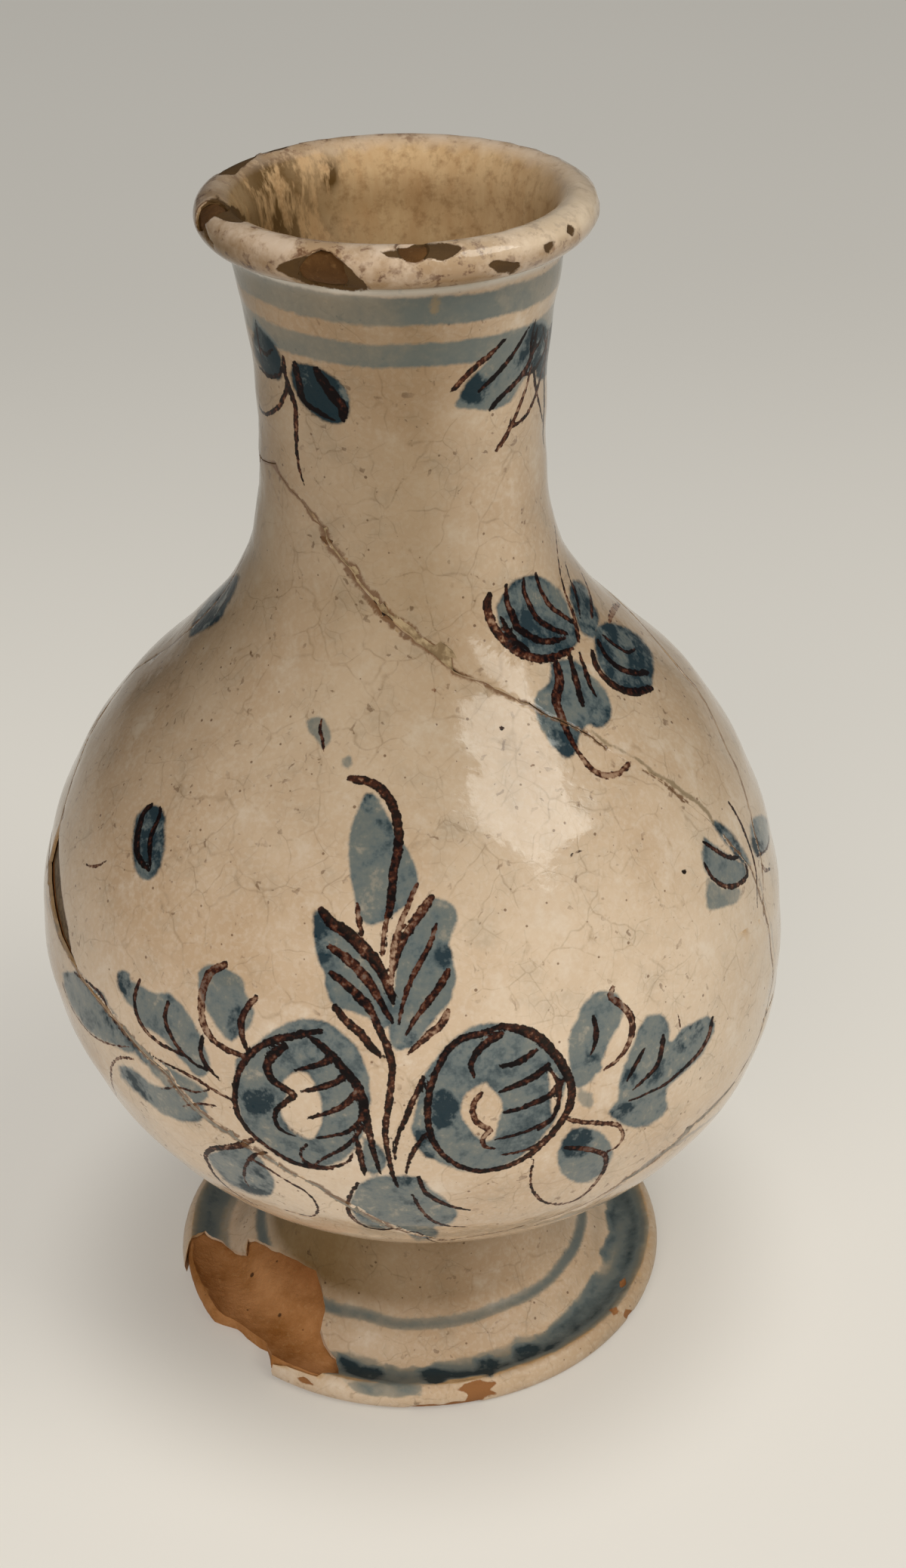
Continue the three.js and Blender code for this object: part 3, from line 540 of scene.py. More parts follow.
# Places where the glaze is chipped off, as outlines in the windows' pixels.
LIP_CHIPS = (
    "400,525 425,500 455,488 500,480 545,476 590,480 622,505 650,535 678,560 692,590 640,596 560,588 490,565",
    "722,465 755,462 800,455 850,440 900,436 960,440 990,452 965,480 935,500 880,488 820,482 760,478",
    "165,330 190,295 215,283 250,310 285,335 308,365 290,372 240,362 195,345 172,372",
    "200,225 240,185 300,155 350,143 330,165 290,200 268,222 240,222",
    "350,142 400,126 470,112 470,120 400,136 352,152",
    "1080,510 1095,498 1140,490 1180,502 1183,520 1155,535 1110,535",
    "1255,445 1272,432 1292,432 1290,452 1270,478 1258,470",
    "1335,380 1352,392 1345,416 1330,404",
    "150,360 158,350 172,390 200,440 205,462 180,440 162,405",
)
FOOT_BLOTS = (
    ("512,618 545,632 585,655 640,662 655,680 620,700 580,698 545,678 520,650", 0.95),
    ("760,668 800,655 850,662 858,690 830,712 790,712 765,695", 0.95),
    ("930,636 970,622 1010,632 1012,660 985,688 945,682", 0.92),
    ("1045,598 1090,580 1135,590 1128,618 1085,640 1052,628", 0.85),
    ("520,690 600,700 700,704 765,700 775,742 700,752 610,744 545,726", 0.17),
    ("560,705 620,712 640,735 600,740", 0.3), ("690,712 740,716 750,745 705,748", 0.34),
    ("1330,180 1372,120 1385,180 1378,260 1340,330 1322,300 1350,240", 0.68),
    ("1300,370 1335,380 1300,470 1225,540 1150,590 1130,570 1210,500 1270,430", 0.62),
)
FOOT_CHIPS = (
    "880,728 900,705 950,698 1000,704 985,728 1002,742 965,752 930,772 905,768 912,745",
    "375,690 405,688 440,712 432,722 395,705",
    "1350,480 1372,470 1388,488 1365,496",
    "1405,478 1425,482 1412,506 1400,500",
    "1380,395 1398,380 1402,402 1385,410",
    "1300,620 1335,598 1328,618 1230,688 1205,695 1260,655",
    "700,782 780,778 880,768 980,770 960,780 860,792 760,797",
)


@dataclass(frozen=True)
class Eye:
    """The camera, where the photograph was taken from: millimetres, radians, and focal length in pixels."""

    stand: tuple[float, float, float] = (0.0, -376.859, 335.81)
    yaw: float = 0.0224
    pitch: float = 0.5421
    roll: float = 0.0167
    focal: float = 3189.78
    middle: tuple[float, float] = (600.0, 1038.5)
    tall: int = 2077

    def axes(self) -> tuple[np.ndarray, np.ndarray, np.ndarray]:
        """Directions in space of the picture's right, its down, and into it."""
        ahead = np.array([math.sin(self.yaw) * math.cos(self.pitch),
                          math.cos(self.yaw) * math.cos(self.pitch), -math.sin(self.pitch)])
        level = np.array([math.cos(self.yaw), -math.sin(self.yaw), 0.0])
        below = np.cross(ahead, level)
        right = math.cos(self.roll) * level + math.sin(self.roll) * below
        down = math.cos(self.roll) * below - math.sin(self.roll) * level
        return right, down, ahead

    def project(self, points: np.ndarray) -> np.ndarray:
        """Picture positions of places in space."""
        right, down, ahead = self.axes()
        reach = points - np.array(self.stand)
        depth = reach @ ahead
        return np.stack([reach @ right / depth, reach @ down / depth], 1) * self.focal + self.middle

    def rays(self, pixels: np.ndarray) -> np.ndarray:
        """Directions from the camera through positions in the picture."""
        right, down, ahead = self.axes()
        offset = (pixels - self.middle) / self.focal
        return ahead + offset[:, :1] * right + offset[:, 1:] * down

    def install(self) -> None:
        """Add the camera and make it the scene's."""
        data = bpy.data.cameras.new("photograph")
        data.sensor_fit = "AUTO"
        data.sensor_width = 36.0
        data.lens = 36.0 * self.focal / self.tall
        data.clip_start, data.clip_end = 0.02, 30.0
        camera = bpy.data.objects.new("photograph", data)
        bpy.context.scene.collection.objects.link(camera)
        right, down, ahead = self.axes()
        turn = Matrix((right, -down, -ahead)).transposed().to_4x4()
        camera.matrix_world = Matrix.Translation(Vector(self.stand) * MM) @ turn
        bpy.context.scene.camera = camera


class Outline:
    """A turned outline in the half plane, given corner by corner and rounded through its corners."""

    def __init__(self, corners: Sequence[tuple[float, float]]) -> None:
        """Keep the corners and work out the slope of the rounded curve at each."""
        self.corners = np.array(corners, float)
        spans = np.linalg.norm(np.diff(self.corners, axis=0), axis=1)
        self.along = np.concatenate([[0.0], np.cumsum(spans)])
        self.slopes = np.gradient(self.corners, self.along, axis=0)

    def round_off(self, flat: np.ndarray, deepest: float = 2.6) -> np.ndarray:
        """Shift points near the cornered outline as its rounded curve departs from it.

        Args:
            flat: points as radius and height.
            deepest: how far below the outline the shift has faded out.

        Returns:
            The shifted points.
        """
        best = np.full(len(flat), np.inf)
        shift = np.zeros_like(flat)
        for i in range(len(self.corners) - 1):
            a, b = self.corners[i], self.corners[i + 1]
            span = self.along[i + 1] - self.along[i]
            t = np.clip((flat - a) @ (b - a) / span ** 2, 0, 1)[:, None]
            chord = a + t * (b - a)
            gap = np.linalg.norm(flat - chord, axis=1)
            bend = bend_between(t, (a, b), span, (self.slopes[i], self.slopes[i + 1]))
            nearer = gap < best
            best[nearer] = gap[nearer]
            shift[nearer] = (bend - chord)[nearer]
        fade = np.clip((deepest - best) / 1.2, 0, 1)
        return flat + shift * fade[:, None]

    def depth(self, flat: np.ndarray) -> np.ndarray:
        """Measure how far points are from the cornered outline.

        Args:
            flat: points as radius and height.

        Returns:
            The distance of each.
        """
        best = np.full(len(flat), np.inf)
        for a, b in zip(self.corners[:-1], self.corners[1:]):
            t = np.clip((flat - a) @ (b - a) / ((b - a) @ (b - a)), 0, 1)[:, None]
            best = np.minimum(best, np.linalg.norm(flat - a - t * (b - a), axis=1))
        return best


@dataclass(frozen=True)
class Throwing:
    """How the pot stands: its facets in the frame, its leaning axis and the marks of the potter's hands."""

    facets: int = 32
    lean_heights: tuple[float, ...] = (0, 15, 34, 60, 84, 110, 134, 160, 190, 220)
    lean: tuple[float, ...] = (0, 1.0, 3.2, 2.8, 0.66, 0.4, 0.8, 0.7, 1.0, 1.0)
    body: Outline = field(default_factory=lambda: Outline(BODY_OUTLINE))
    foot: Outline = field(default_factory=lambda: Outline(FOOT_OUTLINE))

    def lean_at(self, heights: np.ndarray) -> np.ndarray:
        """Sideways shift of the axis at some heights."""
        table, _ = curve_through(np.array([self.lean_heights, self.lean], float).T, 2.0)
        return np.interp(heights, table[:, 0], table[:, 1])

    def unfaceted(self, points: np.ndarray) -> np.ndarray:
        """Take the frame's facets out of places on its solids.

        Args:
            points: places on the frame's solids, in millimetres.

        Returns:
            Rows of radius and height on a truly round pot.
        """
        turn, radius = turn_and_radius(points)
        facet = 2 * math.pi / self.facets
        off_middle = (turn % facet) - facet / 2
        return np.stack([radius * np.cos(off_middle) / math.cos(facet / 2), points[:, 2]], 1)

    def settle(self, points: np.ndarray, foot: bool = False) -> np.ndarray:
        """Take the frame's facets and corners out of a surface, and give it its slight unevenness.

        Args:
            points: places on the frame's solids, in millimetres.
            foot: whether they belong to the foot.

        Returns:
            The same places on the rounded pot, its axis still upright.
        """
        turn, _ = turn_and_radius(points)
        radius, height = (self.foot if foot else self.body).round_off(self.unfaceted(points)).T
        # The fingers' rings are 11 mm apart and a tenth of a millimetre deep.
        rings = 0.10 * np.sin(height * 0.55 + 0.8 * np.sin(turn)) * (radius > 12)
        place = place_at(turn, radius, height)
        swell = (rings + layered_noise(place, (0.22, 34.0, 3))) * ramp(height, 0, 6)
        place += place_at(turn, 1.0, 0 * turn) * swell[:, None]
        return self.jog_foot(place) if foot else self.jog(place)

    def jog_foot(self, place: np.ndarray) -> np.ndarray:
        """Shift places on the foot's dish along its surface, so that the lost glaze has a ragged edge.

        Args:
            place: places on the upright pot, in millimetres.

        Returns:
            The shifted places.
        """
        turn, radius = turn_and_radius(place)
        low = ramp(place[:, 2], 22, -8)
        sideways = layered_noise(place, (0.9, 4.5, 61), (0.45, 1.7, 63)) * low
        outward = layered_noise(place, (0.8, 4.5, 65), (0.4, 1.7, 67)) * low
        outward *= ramp(radius, 47.2, -1.5) * ramp(radius, 33, 2)
        # How steeply the dish rises, by its radius.
        slope = np.interp(radius, (33, 34.4, 36.7, 39, 40.5, 42, 44, 46, 47.4),
                          (-0.5, -0.7, -0.83, -0.4, 0, 0.18, 0.36, 0.3, -0.6))
        turn = turn + sideways / np.maximum(radius, 5)
        return place_at(turn, radius + outward, place[:, 2] + outward * slope)

    def jog(self, place: np.ndarray) -> np.ndarray:
        """Shift places round and along the pot by the small jogs of a real break.

        Args:
            place: places on the upright pot, in millimetres.

        Returns:
            The shifted places.
        """
        turn, radius = turn_and_radius(place)
        height = place[:, 2]
        calm = ramp(height, 0, 12) * ramp(height, 212, -10)
        sideways = layered_noise(place, (0.45, 5.0, 5), (0.16, 1.7, 7)) * calm
        upward = layered_noise(place, (0.45, 5.0, 11), (0.16, 1.7, 13)) * calm
        # How fast the body widens, by its height.
        slope = np.interp(height, (31, 40, 50, 62, 85, 105, 120, 135, 150, 170, 190, 212),
                          (2.4, 1.6, 0.95, 0.45, 0.0, -0.35, -0.65, -1.0, -0.6, -0.15, 0.05, 0.4))
        upward /= np.sqrt(1 + slope ** 2)
        radius = radius + upward * slope
        turn = turn + sideways / np.maximum(radius, 5)
        return place_at(turn, radius, height + upward)

    def radius_at(self, heights: np.ndarray) -> np.ndarray:
        """The body's outside radius at some heights."""
        table, _ = curve_through(self.body.corners[:20], 1.0)
        return np.interp(heights, table[:, 1], table[:, 0])

    def tilt(self, points: np.ndarray) -> np.ndarray:
        """Shift upright places with the leaning axis."""
        return points + np.stack([self.lean_at(points[:, 2]), 0 * points[:, 0], 0 * points[:, 0]], 1)

    def cast(self, eye: Eye, pixels: np.ndarray) -> np.ndarray:
        """Throw positions in the picture on to the leaning body, and stand it upright again.

        Args:
            eye: the camera.
            pixels: positions in the photograph.

        Returns:
            Places on the upright body, in millimetres.
        """
        # Steps of 0.5 mm along the rays, from in front of the jar to behind it.
        heights = np.linspace(31.5, 213, 400)
        table, _ = curve_through(self.body.corners[:20], 1.0)
        rays = eye.rays(pixels)
        reach = np.linspace(320, 620, 601)
        spots = np.array(eye.stand) + rays[:, None, :] * reach[None, :, None]
        lean = np.interp(spots[:, :, 2], heights, self.lean_at(heights))
        outside = (np.hypot(spots[:, :, 0] - lean, spots[:, :, 1])
                   - np.interp(spots[:, :, 2], table[:, 1], table[:, 0], left=0, right=0))
        # A ray that misses the body is taken where it passes closest.
        rows = np.arange(len(pixels))
        struck = outside < 0
        first = np.where(struck.any(1), struck.argmax(1), outside.argmin(1))
        first = np.maximum(first, 1)
        before, after = outside[rows, first - 1], outside[rows, first]
        share = np.where(struck.any(1), before / np.maximum(before - after, 1e-9), 1.0)
        depth = reach[first - 1] + share * (reach[1] - reach[0])
        spot = np.array(eye.stand) + rays * depth[:, None]
        spot[:, 0] -= self.lean_at(spot[:, 2])
        return spot


# The grid of one millimetre that marks where brushwork lies: its cells, and how far below zero it starts.
GRID_SIZE = (146, 146, 226)
GRID_LOW = np.array([73.0, 73.0, 2.0])


def cell_of(points: np.ndarray) -> tuple[np.ndarray, ...]:
    """The grid's cell in which each place lies."""
    return tuple(np.clip((points + GRID_LOW).astype(int), 0, np.array(GRID_SIZE) - 1).T)


def turned(points: np.ndarray, degrees: float) -> np.ndarray:
    """Turn places about the pot's axis."""
    c, s = math.cos(math.radians(degrees)), math.sin(math.radians(degrees))
    return points @ np.array([[c, s, 0], [-s, c, 0], [0, 0, 1]])


@dataclass
class Stroke:
    """A line laid on the pot: its points, half widths and darkness."""

    points: np.ndarray
    half: np.ndarray
    dark: float


class Painter:
    """Lays the brushwork on the upright pot and says, for any place, what was painted there."""

    def __init__(self, eye: Eye, pot: Throwing) -> None:
        """Throw every line on to the pot, and gather every wash."""
        self.eye, self.pot = eye, pot
        self.neck_rings = ((199.0, 203.1), (206.2, 211.1))
        self.heavier, self.heavier_on_neck = 1.02, 1.28
        self.strokes: list[Stroke] = []
        self.washes: list[tuple[np.ndarray, float, float]] = []
        self.edges: list[np.ndarray] = []
        self.smears = [self.pull(smear, 0.0) for smear in SMEARS]
        by_name = {motif.name: motif for motif in MOTIFS}
        for motif in MOTIFS:
            self.lay(motif, 0.0)
        for name, degrees in REPEATS:
            self.lay(by_name[name], degrees)
        self.levels = self.map_work()

    def lay(self, motif: Motif, degrees: float) -> None:
        """Lay one motif.

        Args:
            motif: its lines and washes.
            degrees: how far it is turned about the axis from where it was seen.
        """
        for line in motif.lines:
            self.strokes.append(self.pull(line, degrees))
        for wash in motif.washes:
            outline = read_points(wash.outline)
            corners, _ = curve_through(np.vstack([outline, outline[:1]]), 24.0)
            corners = wash.window.place(corners[:-1])
            self.washes.append((corners, wash.strength, degrees))
            around, _ = curve_through(np.vstack([corners, corners[:1]]), 6.0)
            self.edges.append(turned(self.pot.cast(self.eye, around), degrees))

    def pull(self, line: Line, degrees: float) -> Stroke:
        """Throw one line on to the pot.

        Args:
            line: the line.
            degrees: how far it is turned about the axis from where it was seen.

        Returns:
            The line on the upright pot.
        """
        drawn, along = curve_through(line.window.place(read_points(line.path)), 5.0)
        heavier = self.heavier_on_neck if line.window is Window.NECK else self.heavier
        first, middle, last = (width * heavier for width in line.widths)
        widths = np.interp(along, (0, 0.06, 0.5, 0.94, 1), (0.7 * first, first, middle, last, 0.6 * last))
        spots = turned(self.pot.cast(self.eye, drawn), degrees)
        return Stroke(spots, widths / line.window.value[3] / 2, line.dark)

    def map_work(self) -> np.ndarray:
        """Mark on a grid of one millimetre how close each place is to brushwork.

        Returns:
            For each cell 0 at brushwork, rising to 4 away from it.
        """
        turn = np.linspace(0, 2 * math.pi, 220)
        rings = [place_at(turn, self.pot.radius_at(np.array([height])), 0 * turn + height)
                 for band in self.neck_rings for height in band]
        spots = np.vstack([stroke.points for stroke in self.strokes + self.smears] + self.edges + rings)
        marks = np.zeros(GRID_SIZE, bool)
        marks[cell_of(spots)] = True
        levels = np.full(GRID_SIZE, 4, np.uint8)
        for level in range(4):
            for axis in range(3):
                marks = marks | np.roll(marks, 1, axis) | np.roll(marks, -1, axis)
            levels[marks & (levels == 4)] = level
        return levels

    def closeness(self, points: np.ndarray) -> np.ndarray:
        """How close places are to brushwork, from 0 to 4."""
        return self.levels[cell_of(points)]

    def lines_at(self, points: np.ndarray, strokes: list[Stroke]) -> np.ndarray:
        """Find the nearest line for each place.

        Args:
            points: places on the upright pot.
            strokes: the lines.

        Returns:
            Rows of offset across the line, its half width, distance from its edge, and its darkness.
        """
        found = np.tile(np.array([FAR, 0.0, FAR, 0.5]), (len(points), 1))
        if not len(points):
            return found
        low, high = points.min(0) - 2, points.max(0) + 2
        for stroke in strokes:
            line_low, line_high = stroke.points.min(0) - 2, stroke.points.max(0) + 2
            if (line_low > high).any() or (line_high < low).any():
                continue
            near = np.flatnonzero(((points > line_low) & (points < line_high)).all(1))
            if not near.size:
                continue
            spots = points[near]
            best = found[near, 2]
            for i in range(len(stroke.points) - 1):
                a, side = stroke.points[i], stroke.points[i + 1] - stroke.points[i]
                close = np.flatnonzero(np.abs(spots - a - side / 2).max(1) < 2.6)
                if not close.size:
                    continue
                reach = spots[close] - a
                t = np.minimum(np.maximum(reach @ side / max(side @ side, 1e-9), 0), 1)
                away = reach - t[:, None] * side
                half = stroke.half[i] + t * (stroke.half[i + 1] - stroke.half[i])
                edge = np.sqrt(np.einsum("ij,ij->i", away, away)) - half
                closer = edge < best[close]
                if not closer.any():
                    continue
                chosen = close[closer]
                outward = spots[chosen] * (1, 1, 0)
                across = np.stack([side[1] * outward[:, 2] - side[2] * outward[:, 1],
                                   side[2] * outward[:, 0] - side[0] * outward[:, 2],
                                   side[0] * outward[:, 1] - side[1] * outward[:, 0]], 1)
                across /= np.maximum(np.sqrt(np.einsum("ij,ij->i", across, across)), 1e-9)[:, None]
                best[chosen] = edge[closer]
                rows = near[chosen]
                found[rows, 0] = np.einsum("ij,ij->i", away[closer], across)
                found[rows, 1] = half[closer]
                found[rows, 2] = edge[closer]
                found[rows, 3] = stroke.dark
        return found

    def bands_at(self, points: np.ndarray) -> np.ndarray:
        """Lay the two pale rings round the neck, painted on the wheel.

        Args:
            points: places on the upright pot.

        Returns:
            Rows of distance from a ring's edge, negative inside, and strength.
        """
        turn, radius = turn_and_radius(points)
        turn = np.degrees(turn)
        wobble = layered_noise(points, (0.35, 9.0, 31), (0.12, 2.5, 33))
        level = points[:, 2] + wobble + 0.9 * np.sin(np.radians(turn))
        edge = np.full(len(points), FAR)
        for low, high in self.neck_rings:
            edge = np.minimum(edge, np.maximum(low - level, level - high))
        edge[radius < 0.9 * self.pot.radius_at(points[:, 2]) - 0.5] = FAR
        strength = 0.13 + 0.2 * bell(turn, 16, 22) + layered_noise(points, (0.09, 6.0, 35))
        return np.stack([edge, strength], 1)

    def foot_rings_at(self, points: np.ndarray) -> np.ndarray:
        """Lay the foot's blue rings: a thin pale one where stem meets dish, and a broad dark one in the dish.

        Args:
            points: places on the foot.

        Returns:
            Rows of distance from a ring's edge, negative inside, and strength.
        """
        turn, radius = turn_and_radius(points)
        turn, radius = np.degrees(turn), radius + layered_noise(points, (0.5, 7.0, 41))
        low = points[:, 2] < 12
        to_right = ramp(turn, -20, 60)
        thin = np.where(low, np.abs(radius - 32.7) - 1.2, FAR)
        ragged = layered_noise(points, (1.3, 5.0, 43), (0.8, 2.2, 45))
        front = bell(turn, 0, 32)
        middle = np.where(turn > 0, 42.4, 42.8)
        broad = np.where(low, np.abs(radius - middle) - 3.3 - 0.9 * (1 - front) + (0.2 + front) * ragged, FAR)
        faint = (0.2 + 0.16 * ramp(np.abs(turn - 8), 0, 60)) * np.clip(0.1 - thin / 0.9, 0, 1)
        blots = layered_noise(points, (1.0, 4.5, 47), (0.5, 2.0, 49))
        strong = 0.58 + 0.06 * to_right + (0.06 + 0.4 * front) * blots
        outer_half = np.clip(0.62 + (radius - middle) / 6, 0.2, 1)
        strong = np.clip(strong * (0.35 + 0.9 * outer_half), 0.05, 0.97)
        strong *= np.clip(0.15 * front - broad / (1.8 + 1.4 * (1 - front)), 0, 1)
        return np.stack([np.minimum(thin, broad), np.where(broad < thin, strong, faint)], 1)

    def blots_at(self, points: np.ndarray, normals: np.ndarray) -> np.ndarray:
        """Add to the foot's rings the blots that ran together in them at the front, seen from the camera.

        Args:
            points: places on the foot.
            normals: which way the surface faces there.

        Returns:
            Rows of distance from the blue's edge, negative inside, and strength.
        """
        found = self.foot_rings_at(points)
        sight = np.array(self.eye.stand) - points
        facing = np.flatnonzero((normals * sight).sum(1) > 0)
        picture = self.eye.project(self.pot.tilt(points[facing]))
        for outline, strength in FOOT_BLOTS:
            corners = Window.FOOT.place(read_points(outline))
            edge = polygon_distance(picture, corners) / FOOT_SCALE
            edge += layered_noise(points[facing], (0.5, 1.8, 71))
            inside = np.clip(0.4 - edge / (0.9 if strength > 0.7 else 2.2), 0, 1)
            found[facing, 1] += (strength - found[facing, 1]) * inside
            found[facing, 0] = np.minimum(found[facing, 0], edge)
        return found

    def washes_at(self, points: np.ndarray, normals: np.ndarray) -> np.ndarray:
        """Find how the washes cover each place.

        Args:
            points: places on the upright pot.
            normals: which way the surface faces there.

        Returns:
            Rows of distance from the washes' edge, negative inside, and strength.
        """
        found = self.bands_at(points)
        if not len(points):
            return found
        outer = (normals[:, :2] * points[:, :2]).sum(1) > 0
        outer &= np.hypot(points[:, 0], points[:, 1]) > 0.9 * self.pot.radius_at(points[:, 2]) - 0.5
        seen_from: dict[float, tuple[np.ndarray, np.ndarray]] = {}
        for corners, strength, degrees in self.washes:
            if degrees not in seen_from:
                back, facing = turned(points, -degrees), turned(normals, -degrees)
                sight = np.array(self.eye.stand) - back
                front = (facing * sight).sum(1) > 0.02 * np.linalg.norm(sight, axis=1)
                front &= outer & (back[:, 2] < 212)
                seen_from[degrees] = (self.eye.project(self.pot.tilt(back)), front)
            picture, front = seen_from[degrees]
            low, high = corners.min(0) - 28, corners.max(0) + 28
            near = np.flatnonzero(((picture > low) & (picture < high)).all(1) & front)
            if not near.size:
                continue
            edge = polygon_distance(picture[near], corners) / BELLY_SCALE
            inside = np.clip(0.5 - edge / 0.85, 0, 1)
            if strength < 0:
                found[near, 0] = np.maximum(found[near, 0], -edge)
                continue
            bare = found[near, 0] > 0.3
            found[near, 1] = np.where(bare, strength, found[near, 1] + (strength - found[near, 1]) * inside)
            found[near, 0] = np.minimum(found[near, 0], edge)
        return found


class Coat(Enum):
    """What a piece is made of."""

    GLAZE = "glaze"
    CLAY = "clay"
    FILLER = "filler"


@dataclass
class Piece:
    """One physical piece: its node, its name, what it is made of, and how finely it is meshed."""

    node: str
    name: str
    coat: Coat
    of_foot: bool = False
    coarse: float = 3.0
    rounds: int = 8


# Settings that many nodes share: a mix of colours, and a range that is soft at both ends.
COLOURS = {"data_type": "RGBA"}
SOFT = {"interpolation_type": "SMOOTHSTEP"}


@dataclass(frozen=True)
class Layer:
    """What lies over the colours below it: how much of it shows, its colour, and how the two blend."""

    share: Socket
    colour: Socket | str
    blend: str = "MIX"


class Bench:
    """A material's node tree, and the one way in which nodes are added to it."""

    def __init__(self, name: str) -> None:
        """Start an empty material, with the places in its object that every pattern is laid on."""
        self.material = bpy.data.materials.new(name)
        self.material.use_nodes = True
        self.tree = self.material.node_tree
        self.tree.nodes.clear()
        self.place = self.add("TexCoord", out="Object")

    def add(self, kind: str, inputs: dict | None = None, out: int | str | None = 0,
            **settings: object) -> Socket | bpy.types.bpy_prop_collection:
        """Add a node with its settings, values and links.

        Args:
            kind: the node's type, without the "ShaderNode" that every type starts with.
            inputs: a socket, a value or a hex colour for each named or numbered input. Map Range takes 1 to 2
                over to 3 to 4. Mix goes by 0 from 6 to 7 and hands back 2, or for plain numbers from 2 to 3
                and hands back 0.
            out: which output is handed back; None stands for all of them.
            **settings: the node's own properties.

        Returns:
            The output socket asked for, or all of them.
        """
        made = self.tree.nodes.new("ShaderNode" + kind)
        for key, value in settings.items():
            setattr(made, key, value)
        for key, value in (inputs or {}).items():
            if isinstance(value, Socket):
                self.tree.links.new(value, made.inputs[key])
            else:
                made.inputs[key].default_value = linear(value) if isinstance(value, str) else value
        return made.outputs if out is None else made.outputs[out]


@dataclass(frozen=True)
class TinGlaze:
    """Lead and tin glaze over terracotta, brushed with cobalt and manganese before its one glaze firing.

    The eye sees a warm opaque cream with a soft gloss, pinholes and a wide craze, blue that lies in it like
    watercolour, and brown-black lines that stay crisp.
    """

    cream: str = "#d8c2a8"
    warm: str = "#c2a687"
    pale: str = "#e3d5c3"
    grey: str = "#ad9e89"
    blue_thin: str = "#757870"
    blue_mid: str = "#566467"
    blue_deep: str = "#042b38"
    line_black: str = "#130c0c"
    line_brown: str = "#3f2017"
    line_rust: str = "#6b4029"
    grime: str = "#6b4d34"
    crack_dirt: str = "#846a48"
    smear_grey: str = "#958b80"
    smear_brown: str = "#7d6a4b"
    # The pale of the painted highlight under the lip.
    highlight_pale: str = "#dcdbd3"
    clay: str = "#604522"
    clay_dark: str = "#3c2a15"
    throat: str = "#b08455"
    throat_dark: str = "#7d5528"
    throat_pale: str = "#e6ca9e"
    stain: str = "#5e441f"
    lip: str = "#d6bfa9"
    # The painted highlight on the lip's crest.
    crest_highlight: str = "#f2dfc4"
    lip_worn: str = "#a98a66"
    fleck: str = "#6b4933"
    foot_clay: str = "#8e6039"
    # The colour that painted shade multiplies into the glaze.
    painted_shading: str = "#8c7e5d"
    rough: float = 0.06

    def build(self) -> bpy.types.Material:
        """Build the glaze's material."""
        return GlazeBench("tin_glaze_brushed_and_fired", self).build()


